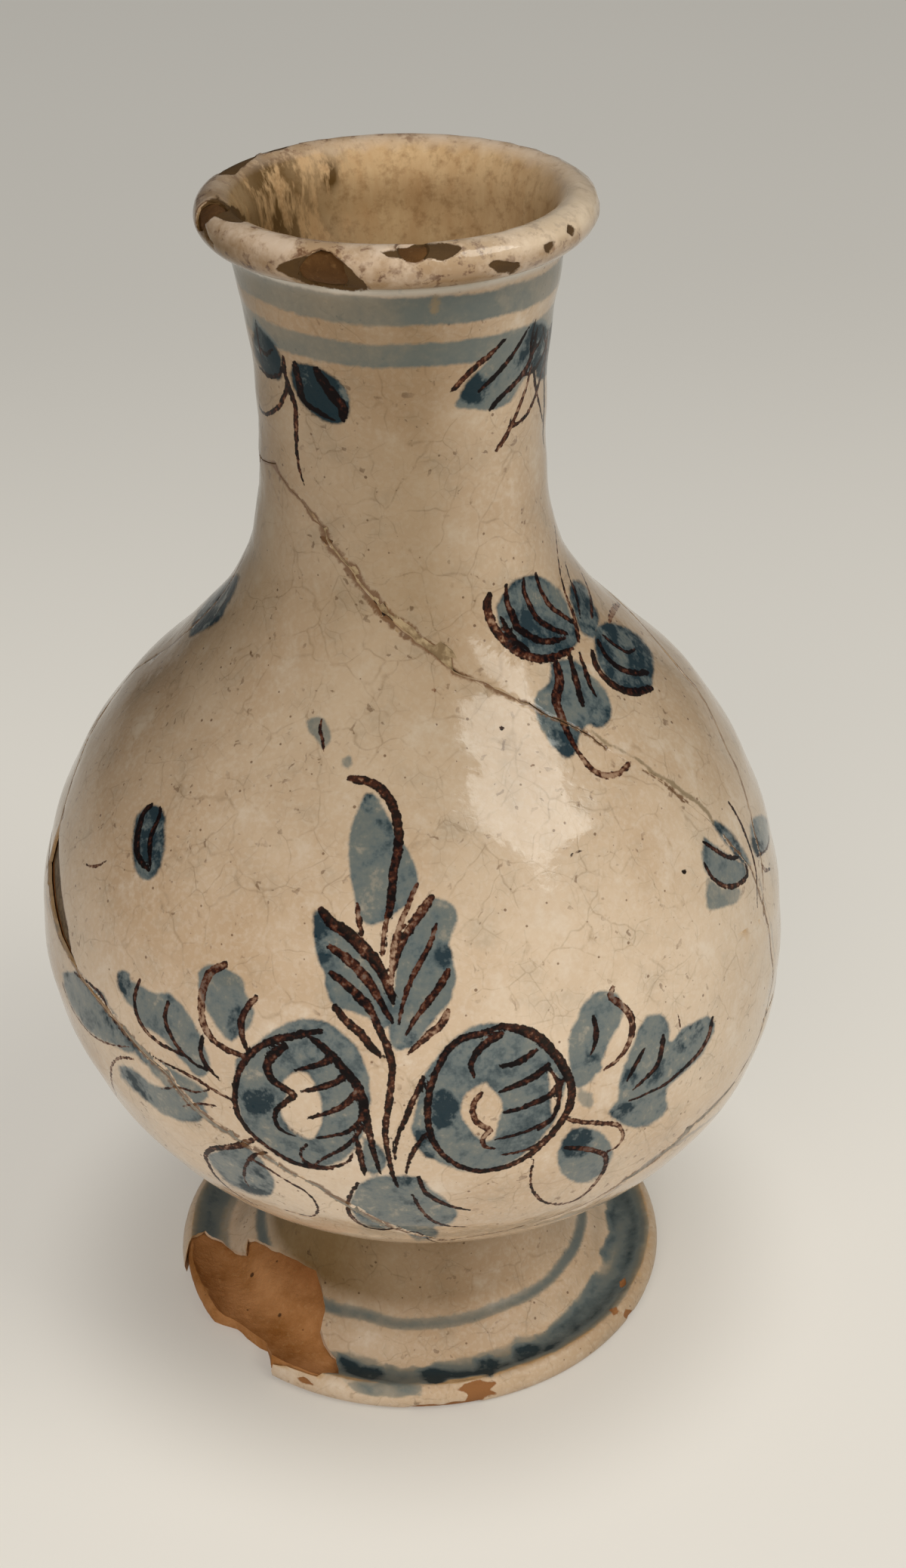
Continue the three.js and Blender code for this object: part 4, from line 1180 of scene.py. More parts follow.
class GlazeBench(Bench):
    """The glaze's bench: noises, the maps kept on the meshes, and layer on layer of colour, wear, painted
    shade and painted highlight.
    """

    def __init__(self, name: str, tones: TinGlaze) -> None:
        """Set out what the layers share."""
        super().__init__(name)
        self.tones = tones
        self.layers: list[Layer] = []
        self.height = self.add("SeparateXYZ", {0: self.place}, 2)
        # Clouds of 60 mm and mottle of 9 mm, as where a dipped glaze ran thick and thin; streaks of 4.5 mm,
        # as from a brush; grain of 2 mm and of 1 mm.
        self.clouds, self.mottle, self.streaks, self.fine, self.grain = (
            self.add("TexNoise", {"Vector": self.place, "Scale": 1 / size, "Detail": fold, "Roughness": rag})
            for size, fold, rag in ((0.060, 4.0, 0.6), (0.009, 5.0, 0.65), (0.0045, 4.0, 0.7),
                                    (0.0021, 3.0, 0.7), (0.0009, 2.0, 0.5)))
        self.rough, self.bits = (self.add("Math", {0: noise, 1: -0.5}, operation="ADD")
                                 for noise in (self.fine, self.grain))
        line, wash, wear, spot, painted_shading = (
            self.add("SeparateXYZ", {0: self.add("Attribute", {}, "Vector", attribute_name=name)}, None)
            for name in ("line_map", "wash_map", "wear_map", "place_map", "painted_light_and_smear_map"))
        self.across, self.half, self.line_edge = line
        self.wash_edge, self.strength, self.darkness = wash
        self.broken, self.lost, self.smear_edge = wear
        self.throat, self.lip, self.stained = spot
        # The painted shade, the painted highlight, and the smears' tone.
        self.aged, self.gathered, self.smear_tone = painted_shading

    def build(self) -> bpy.types.Material:
        """Lay the layers and finish the material.

        Returns:
            The material.
        """
        self.lay_ground()
        self.add_flaws()
        self.stain_mouth()
        self.age()
        self.lay_washes()
        self.draw_lines()
        self.wear_down()
        body = self.ground
        for layer in self.layers:
            body = self.add("Mix", {0: layer.share, 6: body, 7: layer.colour}, 2, **COLOURS,
                            blend_type=layer.blend)
        # Relief: a soft ripple of 5 mm in the gloss, sunk crazing and pinholes, rough bare clay.
        rise = self.add("TexNoise", {"Vector": self.place, "Scale": 1 / 0.005, "Detail": 2.0})
        grit = self.add("Math", {0: self.bare, 1: self.fine}, operation="MULTIPLY")
        for form, strength in ((self.craze, -0.12), (self.hole, -0.3), (self.fine, 0.27), (grit, 2.0)):
            rise = self.add("Math", {0: form, 1: strength, 2: rise}, operation="MULTIPLY_ADD")
        bump = self.add("Bump", {"Height": rise, "Strength": 0.35, "Distance": 0.00035})
        gloss, sheen = self.polish()
        shader = self.add("BsdfPrincipled", {"Base Color": body, "Roughness": gloss, "Normal": bump,
                                             "IOR": 1.5, "Specular IOR Level": sheen})
        self.add("OutputMaterial", {"Surface": shader}, None)
        return self.material

    def lay_ground(self) -> None:
        """Lay the cloudy cream glaze, mottled, dusty and milky."""
        add, tones = self.add, self.tones
        cloudy = add("MapRange", {0: self.clouds, 1: 0.35, 2: 0.68}, **SOFT)
        self.ground = add("Mix", {0: cloudy, 6: tones.cream, 7: tones.warm}, 2, **COLOURS)
        mottled, light = (
            add("MapRange", {0: self.mottle, 1: none, 2: full, 4: most}, **SOFT)
            for none, full, most in ((0.48, 0.78, 0.55), (0.46, 0.25, 0.6)))
        self.dusty = add("MapRange", {0: self.fine, 1: 0.5, 2: 0.75, 4: 0.28})
        milky = add("MapRange", {0: self.grain, 1: 0.52, 2: 0.36, 4: 0.18})
        self.layers += [Layer(mottled, tones.grey), Layer(light, tones.pale), Layer(self.dusty, tones.warm),
                        Layer(milky, tones.pale)]

    def add_flaws(self) -> None:
        """Add pinholes, crazing and specks."""
        add, tones = self.add, self.tones
        # Pinholes of 0.2 to 0.4 mm with dirt in them, a few to the square centimetre.
        holes = add("TexVoronoi", {"Vector": self.place, "Scale": 1 / 0.0017}, None)
        chance = add("SeparateColor", {0: holes["Color"]}, "Red")
        rare = add("MapRange", {0: chance, 1: 0.62, 2: 1.0, 3: 0.0, 4: 0.2})
        hole = add("Math", {0: rare, 1: holes["Distance"]}, operation="SUBTRACT")
        self.hole = add("MapRange", {0: hole, 1: 0.0, 2: 0.05, 4: 0.75})
        # Crazing: a net of 9.5 mm cells, its lines drawn wide enough to show, and a finer net of 3.4 mm
        # cells inside it, both seen only where dirt has got in.
        bend = add("TexNoise", {"Vector": self.place, "Scale": 1 / 0.008, "Detail": 2.0}, "Color")
        bend = add("VectorMath", {0: bend, "Scale": 0.006}, operation="SCALE")
        bent = add("VectorMath", {0: self.place, 1: bend}, operation="ADD")
        self.craze = 0.0
        for cell, off, on, noise, clean, dirty, most in (
                (0.0095, 0.022, 0.003, self.streaks, 0.38, 0.58, 0.3),
                (0.0034, 0.034, 0.01, self.mottle, 0.44, 0.62, 0.2)):
            net = add("TexVoronoi", {"Vector": bent, "Scale": 1 / cell}, feature="DISTANCE_TO_EDGE")
            net = add("MapRange", {0: net, 1: off, 2: on})
            patches = add("MapRange", {0: noise, 1: clean, 2: dirty, 4: most})
            self.craze = add("Math", {0: net, 1: patches, 2: self.craze}, operation="MULTIPLY_ADD",
                             use_clamp=True)
        # Specks and dashes of kiln dirt, half a millimetre to a millimetre.
        specks = add("TexNoise", {"Vector": self.place, "Scale": 1 / 0.0017, "Detail": 2.0,
                                  "Distortion": 0.5})
        specks = add("MapRange", {0: specks, 1: 0.655, 2: 0.7})
        dirty = add("MapRange", {0: self.mottle, 1: 0.42, 2: 0.58, 4: 0.6})
        specks = add("Math", {0: specks, 1: dirty}, operation="MULTIPLY")
        self.layers += [Layer(self.hole, tones.grime), Layer(self.craze, tones.crack_dirt),
                        Layer(specks, tones.grime)]

    def stain_mouth(self) -> None:
        """Stain the throat with tan and ochre runs, and fleck the worn, pinkish lip with brown."""
        add, tones = self.add, self.tones
        # The runs are 11 mm long and 3 mm wide.
        tall = add("Mapping", {"Vector": self.place, "Scale": (1 / 0.0028, 1 / 0.0028, 1 / 0.011)})
        runs = add("TexNoise", {"Vector": tall, "Scale": 1.0, "Detail": 4.0, "Roughness": 0.65})
        tan = add("Mix", {0: runs, 6: tones.throat_pale, 7: tones.throat}, 2, **COLOURS)
        pitted = add("MapRange", {0: self.fine, 1: 0.48, 2: 0.72, 4: 0.5})
        tan = add("Mix", {0: pitted, 6: tan, 7: tones.throat_dark}, 2, **COLOURS)
        soak = add("MapRange", {0: runs, 1: 0.6, 2: 0.48, 3: 0.0, 4: 0.95})
        soak = add("Math", {0: soak, 1: self.stained}, operation="MULTIPLY")
        pink = add("Math", {0: self.lip, 1: 0.6}, operation="MULTIPLY")
        worn = add("MapRange", {0: self.mottle, 1: 0.42, 2: 0.58, 4: 0.85})
        worn = add("Math", {0: worn, 1: self.lip}, operation="MULTIPLY")
        flecks = add("MapRange", {0: self.fine, 1: 0.53, 2: 0.62, 4: 0.85})
        gritty = add("MapRange", {0: self.mottle, 1: 0.42, 2: 0.56})
        for share in (gritty, self.lip):
            flecks = add("Math", {0: flecks, 1: share}, operation="MULTIPLY")
        self.layers += [Layer(self.throat, tan), Layer(soak, tones.stain), Layer(pink, tones.lip),
                        Layer(worn, tones.lip_worn), Layer(flecks, tones.fleck)]

    def age(self) -> None:
        """Paint shade into the glaze's colour on neck, stem, sides, lip and dish, and a pale highlight under
        the lip and on its crest.
        """
        add, tones = self.add, self.tones
        gathered = add("Math", {0: self.gathered, 1: 0.6}, operation="MULTIPLY")
        at_crest = add("MapRange", {0: self.height, 1: 0.2145, 2: 0.2165})
        highlight_pale = add("Mix", {0: at_crest, 6: tones.highlight_pale, 7: tones.crest_highlight}, 2, **COLOURS)
        self.layers += [Layer(self.aged, tones.painted_shading, "MULTIPLY"), Layer(gathered, highlight_pale)]

    def lay_washes(self) -> None:
        """Lay the washes of thin cobalt, uneven where the brush was wetter, with a slightly darker rim."""
        add, tones = self.add, self.tones
        ragged = add("Math", {0: self.rough, 1: 1.1, 2: self.wash_edge}, operation="MULTIPLY_ADD")
        cover = add("MapRange", {0: ragged, 1: 0.36, 2: -0.42}, **SOFT)
        rim = add("MapRange", {0: ragged, 1: -1.3, 2: -0.15, 4: 0.16})
        uneven = add("MapRange", {0: self.streaks, 1: 0.32, 2: 0.68, 3: -0.42, 4: 0.46})
        pooled = add("MapRange", {0: self.mottle, 1: 0.38, 2: 0.62, 3: -0.2, 4: 0.16})
        grainy = add("MapRange", {0: self.grain, 1: 0.35, 2: 0.65, 3: -0.13, 4: 0.13})
        for more in (rim, pooled, grainy):
            uneven = add("Math", {0: uneven, 1: more}, operation="ADD")
        # Rings drawn on the turning wheel, on the foot and under the lip, are the most even.
        even_foot = add("MapRange", {0: self.height, 1: 0.012, 2: 0.020, 3: 0.3, 4: 1.0})
        even_neck = add("MapRange", {0: self.height, 1: 0.196, 2: 0.200, 3: 1.0, 4: 0.45})
        even = add("Math", {0: even_foot, 1: even_neck}, operation="MULTIPLY")
        uneven = add("Math", {0: uneven, 1: even}, operation="MULTIPLY")
        dense = add("Math", {0: uneven, 1: self.strength, 2: self.strength}, operation="MULTIPLY_ADD",
                    use_clamp=True)
        thin = add("MapRange", {0: dense, 1: 0.12, 2: 0.55})
        thick = add("MapRange", {0: dense, 1: 0.5, 2: 0.84})
        blue = add("Mix", {0: thin, 6: tones.blue_thin, 7: tones.blue_mid}, 2, **COLOURS)
        blue = add("Mix", {0: thick, 6: blue, 7: tones.blue_deep}, 2, **COLOURS)
        # Painted shade darkens the blue too, at half strength.
        shade_on_blue = add("Math", {0: self.aged, 1: 0.5}, operation="MULTIPLY")
        blue = add("Mix", {0: shade_on_blue, 6: blue, 7: tones.painted_shading}, 2, **COLOURS, blend_type="MULTIPLY")
        opaque = add("MapRange", {0: dense, 1: 0.0, 2: 0.3, 3: 0.55, 4: 0.96})
        present = add("MapRange", {0: dense, 2: 0.08})
        for share in (opaque, present):
            cover = add("Math", {0: cover, 1: share}, operation="MULTIPLY")
        self.laid = add("Math", {0: thick, 1: cover}, operation="MULTIPLY")
        self.layers.append(Layer(cover, blue))

    def draw_lines(self) -> None:
        """Draw the manganese lines, grainy at the edge and thin where the brush ran dry."""
        add, tones = self.add, self.tones
        across = add("Math", {0: self.across}, operation="ABSOLUTE")
        across = add("Math", {0: across, 1: self.half}, operation="SUBTRACT")
        ends = add("Math", {0: self.line_edge, 1: 0.12}, operation="SUBTRACT")
        edge = add("Math", {0: across, 1: ends}, operation="MAXIMUM")
        for noise, strength in ((self.rough, 0.5), (self.bits, 0.7)):
            edge = add("Math", {0: noise, 1: strength, 2: edge}, operation="MULTIPLY_ADD")
        drawn = add("MapRange", {0: edge, 1: 0.07, 2: -0.09}, **SOFT)
        # The pigment gathers in dark beads along both sides of a stroke and is thinner in its middle.
        load = add("MapRange", {0: self.streaks, 1: 0.35, 2: 0.65, 3: -0.22, 4: 0.38})
        core = add("MapRange", {0: edge, 1: -0.08, 2: -0.34, 3: 0.1, 4: -0.14})
        load = add("Math", {0: load, 1: core}, operation="ADD")
        load = add("Math", {0: self.bits, 1: -2.2, 2: load}, operation="MULTIPLY_ADD")
        load = add("Math", {0: load, 1: self.darkness}, operation="ADD", use_clamp=True)
        brown = add("MapRange", {0: load, 1: 0.1, 2: 0.55})
        black = add("MapRange", {0: load, 1: 0.46, 2: 0.9})
        ink = add("Mix", {0: brown, 6: tones.line_rust, 7: tones.line_brown}, 2, **COLOURS)
        ink = add("Mix", {0: black, 6: ink, 7: tones.line_black}, 2, **COLOURS)
        full = add("MapRange", {0: load, 1: 0.0, 2: 0.4, 3: 0.55, 4: 0.98})
        self.drawn = add("Math", {0: drawn, 1: full}, operation="MULTIPLY")
        self.layers.append(Layer(self.drawn, ink))

    def wear_down(self) -> None:
        """Put dirt and old glue along the breaks, and bare the clay where the glaze is chipped off."""
        add, tones = self.add, self.tones
        # How far the noise shifts each edge, how the edge then fades, and how strong it is at most.
        dirt, smeared, self.bare = (
            add("MapRange", {0: add("Math", {0: self.rough, 1: shift, 2: edge}, operation="MULTIPLY_ADD"),
                             1: none, 2: full, 4: most}, **SOFT)
            for edge, shift, none, full, most in (
                (self.broken, 1.1, 0.48, 0.08, 0.9), (self.smear_edge, 1.4, 0.25, -0.25, 0.8),
                (self.lost, 0.9, 0.12, -0.12, 1.0)))
        smear = add("Mix", {0: self.smear_tone, 6: tones.smear_grey, 7: tones.smear_brown}, 2, **COLOURS)
        clay = add("Mix", {0: self.mottle, 6: tones.clay, 7: tones.clay_dark}, 2, **COLOURS)
        at_foot = add("MapRange", {0: self.height, 1: 0.02, 2: 0.015})
        clay = add("Mix", {0: at_foot, 6: clay, 7: tones.foot_clay}, 2, **COLOURS)
        self.layers += [Layer(dirt, tones.grime), Layer(smeared, smear), Layer(self.bare, clay)]

    def polish(self) -> tuple[Socket, Socket]:
        """Say how sharp the gloss is and how much of it is left.

        Returns:
            The roughness, and the specular level.
        """
        add, rough = self.add, self.tones.rough
        gloss = add("MapRange", {0: self.mottle, 1: 0.3, 2: 0.8, 3: rough, 4: rough + 0.1})
        gloss = add("Math", {0: self.dusty, 1: 0.3, 2: gloss}, operation="MULTIPLY_ADD")
        # The throat and the foot are rubbed and dirty, and have lost their gloss.
        foot_low = add("MapRange", {0: self.height, 1: 0.036, 2: 0.031, 4: 0.85})
        rubbed = add("Math", {0: self.throat, 1: foot_low}, operation="MAXIMUM")
        for share, roughness in ((rubbed, 0.45), (self.bare, 0.85)):
            gloss = add("Mix", {0: share, 2: gloss, 3: roughness}, 0, data_type="FLOAT")
        # Manganese lines and the thickest blue lie dull in the glaze.
        matt = add("Math", {0: self.laid, 1: self.drawn}, operation="MAXIMUM")
        # The specular is lowered too where shade is painted.
        matt = add("Math", {0: self.aged, 1: 0.8, 2: matt}, operation="MULTIPLY_ADD", use_clamp=True)
        rubbed = add("Math", {0: rubbed, 1: 0.6}, operation="MULTIPLY")
        matt = add("Math", {0: matt, 1: rubbed}, operation="MAXIMUM")
        return gloss, add("MapRange", {0: matt, 3: 0.5, 4: 0.05})


@dataclass(frozen=True)
class Terracotta:
    """Low-fired red clay, thrown: a dull orange-brown body with sandy grit and small dark pits."""

    name: str = "terracotta_thrown_bare"
    bright: str = "#bd8858"
    deep: str = "#93602f"
    pale: str = "#bd9060"
    pit: str = "#3d2818"
    # The colour that painted shade multiplies into the clay.
    shade_under_belly: str = "#cbbdae"

    def build(self) -> bpy.types.Material:
        """Build the bare clay's material.

        Returns:
            The material.
        """
        bench = Bench(self.name)
        add, place = bench.add, bench.place
        # Patches of 11 mm from the fire and the soil, and the clay's grit of 1 mm.
        patch = add("TexNoise", {"Vector": place, "Scale": 1 / 0.011, "Detail": 5.0, "Roughness": 0.65})
        grit = add("TexNoise", {"Vector": place, "Scale": 1 / 0.0011, "Detail": 3.0, "Roughness": 0.7})
        patchy = add("MapRange", {0: patch, 1: 0.35, 2: 0.65})
        body = add("Mix", {0: patchy, 6: self.bright, 7: self.deep}, 2, **COLOURS)
        dusty = add("MapRange", {0: grit, 1: 0.55, 2: 0.75, 4: 0.6})
        # Pits of about half a millimetre where grit has fallen out.
        pits = add("TexVoronoi", {"Vector": place, "Scale": 1 / 0.0028}, None)
        chance = add("SeparateColor", {0: pits["Color"]}, "Red")
        size = add("MapRange", {0: chance, 1: 0.6, 2: 1.0, 3: 0.0, 4: 0.26})
        hollow = add("Math", {0: size, 1: pits["Distance"]}, operation="SUBTRACT")
        hollow = add("MapRange", {0: hollow, 1: 0.0, 2: 0.06, 4: 0.85})
        # Painted shade darkens it from 4 mm up, in the hollow under the belly; above 9.5 mm all of it is
        # darkened alike.
        height = add("SeparateXYZ", {0: place}, 2)
        belly_shade_share = add("MapRange", {0: height, 1: 0.004, 2: 0.0095}, **SOFT)
        for layer in (Layer(dusty, self.pale), Layer(hollow, self.pit), Layer(belly_shade_share, self.shade_under_belly, "MULTIPLY")):
            body = add("Mix", {0: layer.share, 6: body, 7: layer.colour}, 2, **COLOURS,
                       blend_type=layer.blend)
        rise = add("Math", {0: hollow, 1: -1.0, 2: grit}, operation="MULTIPLY_ADD")
        bump = add("Bump", {"Height": rise, "Strength": 0.6, "Distance": 0.0004})
        shader = add("BsdfPrincipled", {"Base Color": body, "Roughness": 0.88, "Normal": bump,
                                        "Specular IOR Level": 0.3})
        add("OutputMaterial", {"Surface": shader}, None)
        return bench.material


@dataclass(frozen=True)
class Filler:
    """Restorer's plaster and wax, pressed in and tinted: matt and a little streaky."""

    name: str = "tinted_filler_olive"
    light: str = "#a6906e"
    dark: str = "#776143"

    def build(self) -> bpy.types.Material:
        """Build the filler's material.

        Returns:
            The material.
        """
        bench = Bench(self.name)
        add, place = bench.add, bench.place
        # Smears of 4 mm from the spatula, and the plaster's grain of 1 mm.
        smear = add("TexNoise", {"Vector": place, "Scale": 1 / 0.004, "Detail": 4.0, "Roughness": 0.7})
        grain = add("TexNoise", {"Vector": place, "Scale": 1 / 0.0009, "Detail": 2.0})
        both = add("Math", {0: smear, 1: grain}, operation="MULTIPLY")
        patchy = add("MapRange", {0: both, 1: 0.17, 2: 0.34})
        body = add("Mix", {0: patchy, 6: self.dark, 7: self.light}, 2, **COLOURS)
        bump = add("Bump", {"Height": both, "Strength": 0.6, "Distance": 0.0003})
        shader = add("BsdfPrincipled", {"Base Color": body, "Roughness": 0.7, "Normal": bump})
        add("OutputMaterial", {"Surface": shader}, None)
        return bench.material


@dataclass
class Potter:
    """Makes every piece from its solid: finer, rounded, jogged at the breaks, chipped and painted."""

    eye: Eye
    pot: Throwing
    painter: Painter
    edge_fade: float = 4.0
    finest: float = 0.5
    finest_at_lip: float = 0.45
    # An edge is split when it is this many times longer than it may be.
    slack: float = 1.4
    # A crack is closed this far from both sides, worn down this far at its edge, and a chip is this deep.
    crack_reach: float = 0.13
    worn_edge: float = 0.09
    chip_depth: float = 0.27
    # Where the frame's breaks stand widest, and how far their walls move there: from and to round the axis in
    # degrees, from and to in height, and the reach in millimetres.
    tighter: tuple[tuple[float, float, float, float, float], ...] = (
        (-37, 8, 147, 172, 0.8), (8, 30, 130, 150, 0.7), (-50, -2, 38, 92, 0.6), (20, 58, 55, 70, 0.4))

    def take(self, piece: Piece) -> bpy.types.Object:
        """Copy a solid into a mesh of its own and merge its loose triangles.

        Args:
            piece: which piece.

        Returns:
            The new object.
        """
        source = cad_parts[piece.node].data
        source.calc_loop_triangles()
        mesh = bpy.data.meshes.new(piece.name)
        mesh.from_pydata(read_rows(source.vertices, "co").tolist(), [],
                         read_rows(source.loop_triangles, "vertices", np.int32).tolist())
        made = bpy.data.objects.new(piece.name, mesh)
        bpy.context.scene.collection.objects.link(made)
        bpy.ops.object.select_all(action="DESELECT")
        made.select_set(True)
        bpy.context.view_layer.objects.active = made
        bpy.context.tool_settings.mesh_select_mode = (False, True, False)
        bpy.ops.object.mode_set(mode="EDIT")
        bpy.ops.mesh.select_all(action="SELECT")
        bpy.ops.mesh.remove_doubles(threshold=1e-6)
        bpy.ops.object.mode_set(mode="OBJECT")
        return made

    def places(self, made: bpy.types.Object) -> np.ndarray:
        """A mesh's corners, in millimetres."""
        return read_rows(made.data.vertices, "co") / MM

    def depth_of(self, points: np.ndarray, piece: Piece) -> np.ndarray:
        """How far below the outside each place on a solid lies."""
        return (self.pot.foot if piece.of_foot else self.pot.body).depth(self.pot.unfaceted(points))

    def wanted(self, points: np.ndarray, piece: Piece) -> np.ndarray:
        """Say how long an edge may be at each place: shorter where there is brushwork or a chip.

        Args:
            points: places on the piece's solid.
            piece: which piece.

        Returns:
            A length for each place, in millimetres.
        """
        want = np.full(len(points), piece.coarse)
        if piece.coat is not Coat.GLAZE:
            return want
        outside = np.flatnonzero(self.depth_of(points, piece) < 0.3)
        chips = np.abs(self.chipped(points[outside]))
        finest = self.finest if piece.of_foot else self.finest_at_lip
        want[outside] = np.clip(finest + 0.5 * (chips - 0.9), finest, piece.coarse)
        if not piece.of_foot:
            steps = np.array([self.finest, 0.85, 1.3, 2.0, piece.coarse])
            want[outside] = np.minimum(steps[self.painter.closeness(points[outside])], want[outside])
        return want

    def refine(self, made: bpy.types.Object, piece: Piece) -> None:
        """Split long edges, again and again, until the mesh is as fine as the work on it needs.

        Args:
            made: the piece's object.
            piece: which piece.
        """
        for _ in range(piece.rounds):
            spots = self.places(made)
            first, last = (spots[ends] for ends in read_rows(made.data.edges, "vertices", np.int32, 2).T)
            length = np.linalg.norm(last - first, axis=1)
            long = np.flatnonzero(length > self.slack * self.finest)
            want = self.wanted((first[long] + last[long]) / 2, piece)
            chosen = np.zeros(len(length), bool)
            chosen[long] = length[long] > self.slack * want
            if not chosen.any():
                break
            made.data.vertices.foreach_set("select", np.zeros(len(spots), bool))
            made.data.polygons.foreach_set("select", np.zeros(len(made.data.polygons), bool))
            made.data.edges.foreach_set("select", chosen)
            bpy.ops.object.mode_set(mode="EDIT")
            bpy.ops.mesh.subdivide(number_cuts=1)
            bpy.ops.mesh.select_all(action="SELECT")
            bpy.ops.mesh.quads_convert_to_tris(quad_method="SHORTEST_DIAGONAL", ngon_method="BEAUTY")
            bpy.ops.object.mode_set(mode="OBJECT")

    def chipped(self, upright: np.ndarray) -> np.ndarray:
        """Measure the distance from the edge of the chips in lip and foot.

        Args:
            upright: places on the upright pot.

        Returns:
            The distance of each, negative inside a chip.
        """
        found = np.full(len(upright), FAR)
        for window, chips, chosen, scale in (
                (Window.NECK, LIP_CHIPS, upright[:, 2] > LIP_FROM, LIP_SCALE),
                (Window.FOOT, FOOT_CHIPS, (upright[:, 2] < 5.5) & (upright[:, 1] < 8), FOOT_SCALE)):
            rows = np.flatnonzero(chosen)
            if not rows.size:
                continue
            picture = self.eye.project(self.pot.tilt(upright[rows]))
            for text in chips:
                corners = window.place(read_points(text))
                found[rows] = np.minimum(found[rows], polygon_distance(picture, corners) / scale)
        return found

    def break_distance(self, made: bpy.types.Object, upright: np.ndarray, depth: np.ndarray) -> np.ndarray:
        """Measure how far each outside place is from the nearest break.

        Args:
            made: the piece's object.
            upright: its corners.
            depth: how far below the outside each corner lies.

        Returns:
            The distance of each corner, no more than the fade's reach.
        """
        faces = read_rows(made.data.polygons, "vertices", np.int32)
        outer = depth < 0.06
        mixed = (depth[faces] > 0.12).any(1)
        rim = np.zeros(len(upright), bool)
        rim[faces[mixed].ravel()] = True
        rim &= outer & (upright[:, 2] > BELLY_FROM)
        found = np.full(len(upright), self.edge_fade)
        if not rim.any():
            return found
        tree = KDTree(int(rim.sum()))
        for i, spot in enumerate(upright[rim]):
            tree.insert(spot, i)
        tree.balance()
        for i in np.flatnonzero(outer):
            found[i] = min(tree.find(upright[i])[2], self.edge_fade)
        return found

    def shade_highlight_and_smear(self, upright: np.ndarray, smear_tone: np.ndarray) -> np.ndarray:
        """Say where shade and highlight are painted into the glaze's colour.

        Args:
            upright: places on the upright pot.
            smear_tone: how brown the nearest smear is.

        Returns:
            Rows of how much painted shade darkens the glaze, how much painted highlight pales it under the
            lip and on its crest, and the smear's tone.
        """
        turn, radius = turn_and_radius(upright)
        turn, high = np.degrees(turn), upright[:, 2]
        # Painted shade: strongest on the left, front and back, weakest on the right towards the lamp; on the
        # neck below the lip, the stem under the belly, the sides turning away, the lower lip, most at its
        # left front, and the foot's dish, more at its right rim.
        aged_side = np.maximum(np.clip(1.05 - (turn - 5) / 55, 0.3, 1), ramp(turn, 110, 60))
        neck = (0.52 + 0.16 * bell(turn, 5, 35)) * ramp(high, 112, 48) * ramp(high, 216, -6)
        stem = ramp(high, 31, -3) * ramp(high, 5, 6)
        stem_left = ramp(turn, -5, -35) * ramp(turn, -175, 60)
        sides = np.clip(1 - np.abs(np.abs(turn) - 88) / 45, 0, 1) * ramp(high, BELLY_FROM, 20)
        sides *= np.where(turn < 0, 0.5, 0.33)
        outside = radius > 26.5
        lip = 0.22 * ramp(high, 219.2, -2.5) * ramp(high, LIP_FROM, 2) * outside
        lip *= 1 + 2.4 * bell(turn, -60, 25)
        dish = ramp(high, 7, -2) * (0.1 + 0.22 * ramp(turn, 15, 30) * (radius > 45))
        total = neck * aged_side + stem * (0.7 * aged_side + 0.28 * stem_left)
        total = np.clip(total + sides + lip + dish, 0, 1)
        # Painted highlight: a pale band just under the lip's roll, and a paler crest on the lip's right.
        gathered = bell(high, 212.2, 0.9) * outside + 0.95 * bell(turn, 62, 38) * ramp(high, 216.5, 1.5)
        return np.stack([total, gathered, smear_tone], 1)

    def close_gaps(self, made: bpy.types.Object, upright: np.ndarray, depth: np.ndarray, reach: float,
                   tighter: tuple[tuple[float, float, float, float, float], ...] = ()) -> np.ndarray:
        """Grow a piece's broken walls sideways, so that a break is a fine groove and no open slit.

        Args:
            made: the piece's object.
            upright: its corners.
            depth: how far below the outside each corner lies.
            reach: how far the walls move, in millimetres.
            tighter: stretches where they move another way.

        Returns:
            The corners, moved.
        """
        faces = read_rows(made.data.polygons, "vertices", np.int32)
        facing = read_rows(made.data.polygons, "normal")
        middle = upright[faces].mean(1)
        radial = middle * (1, 1, 0)
        radial /= np.linalg.norm(radial, axis=1)[:, None]
        wall = ((depth[faces].max(1) - depth[faces].min(1)) > 0.08) & (middle[:, 2] > 36)
        wall &= np.abs((facing * radial).sum(1)) < 0.5
        wall &= ~((np.abs(facing[:, 2]) > 0.9) & (middle[:, 2] > 205))
        push = np.zeros_like(upright)
        for corner in range(3):
            np.add.at(push, faces[wall, corner], facing[wall])
        size = np.linalg.norm(push, axis=1)
        push[size > 0] /= size[size > 0][:, None]
        turn, height = np.degrees(turn_and_radius(upright)[0]), upright[:, 2]
        step = np.full(len(upright), reach)
        for left, right, low, high, more in tighter:
            step[(turn > left) & (turn < right) & (height > low) & (height < high)] = more
        return upright + push * step[:, None]

    def places_on_pot(self, upright: np.ndarray, normals: np.ndarray) -> np.ndarray:
        """Say how much each place belongs to the mouth's parts.

        Args:
            upright: places on the upright pot.
            normals: which way the surface faces there.

        Returns:
            Rows of how much it belongs to the throat, to the worn lip, and to the throat's stained side.
        """
        turn, height = np.degrees(turn_and_radius(upright)[0]), upright[:, 2]
        inward = (normals[:, :2] * upright[:, :2]).sum(1) < 0
        throat = ramp(height, 220.2, -1.6) * inward
        lip = ramp(height, 212.5, 2) * (1 - throat)
        from_stain = np.minimum(np.abs(turn + 125), 360 - np.abs(turn + 125))
        stained = bell(from_stain, 0, 26) * inward * ramp(height, 196, 8)
        spot = bell(turn, -154, 3.5) * bell(height, 215.5, 2.5) * inward
        return np.stack([throat, lip, np.clip(stained + 1.3 * spot, 0, 1.4)], 1)

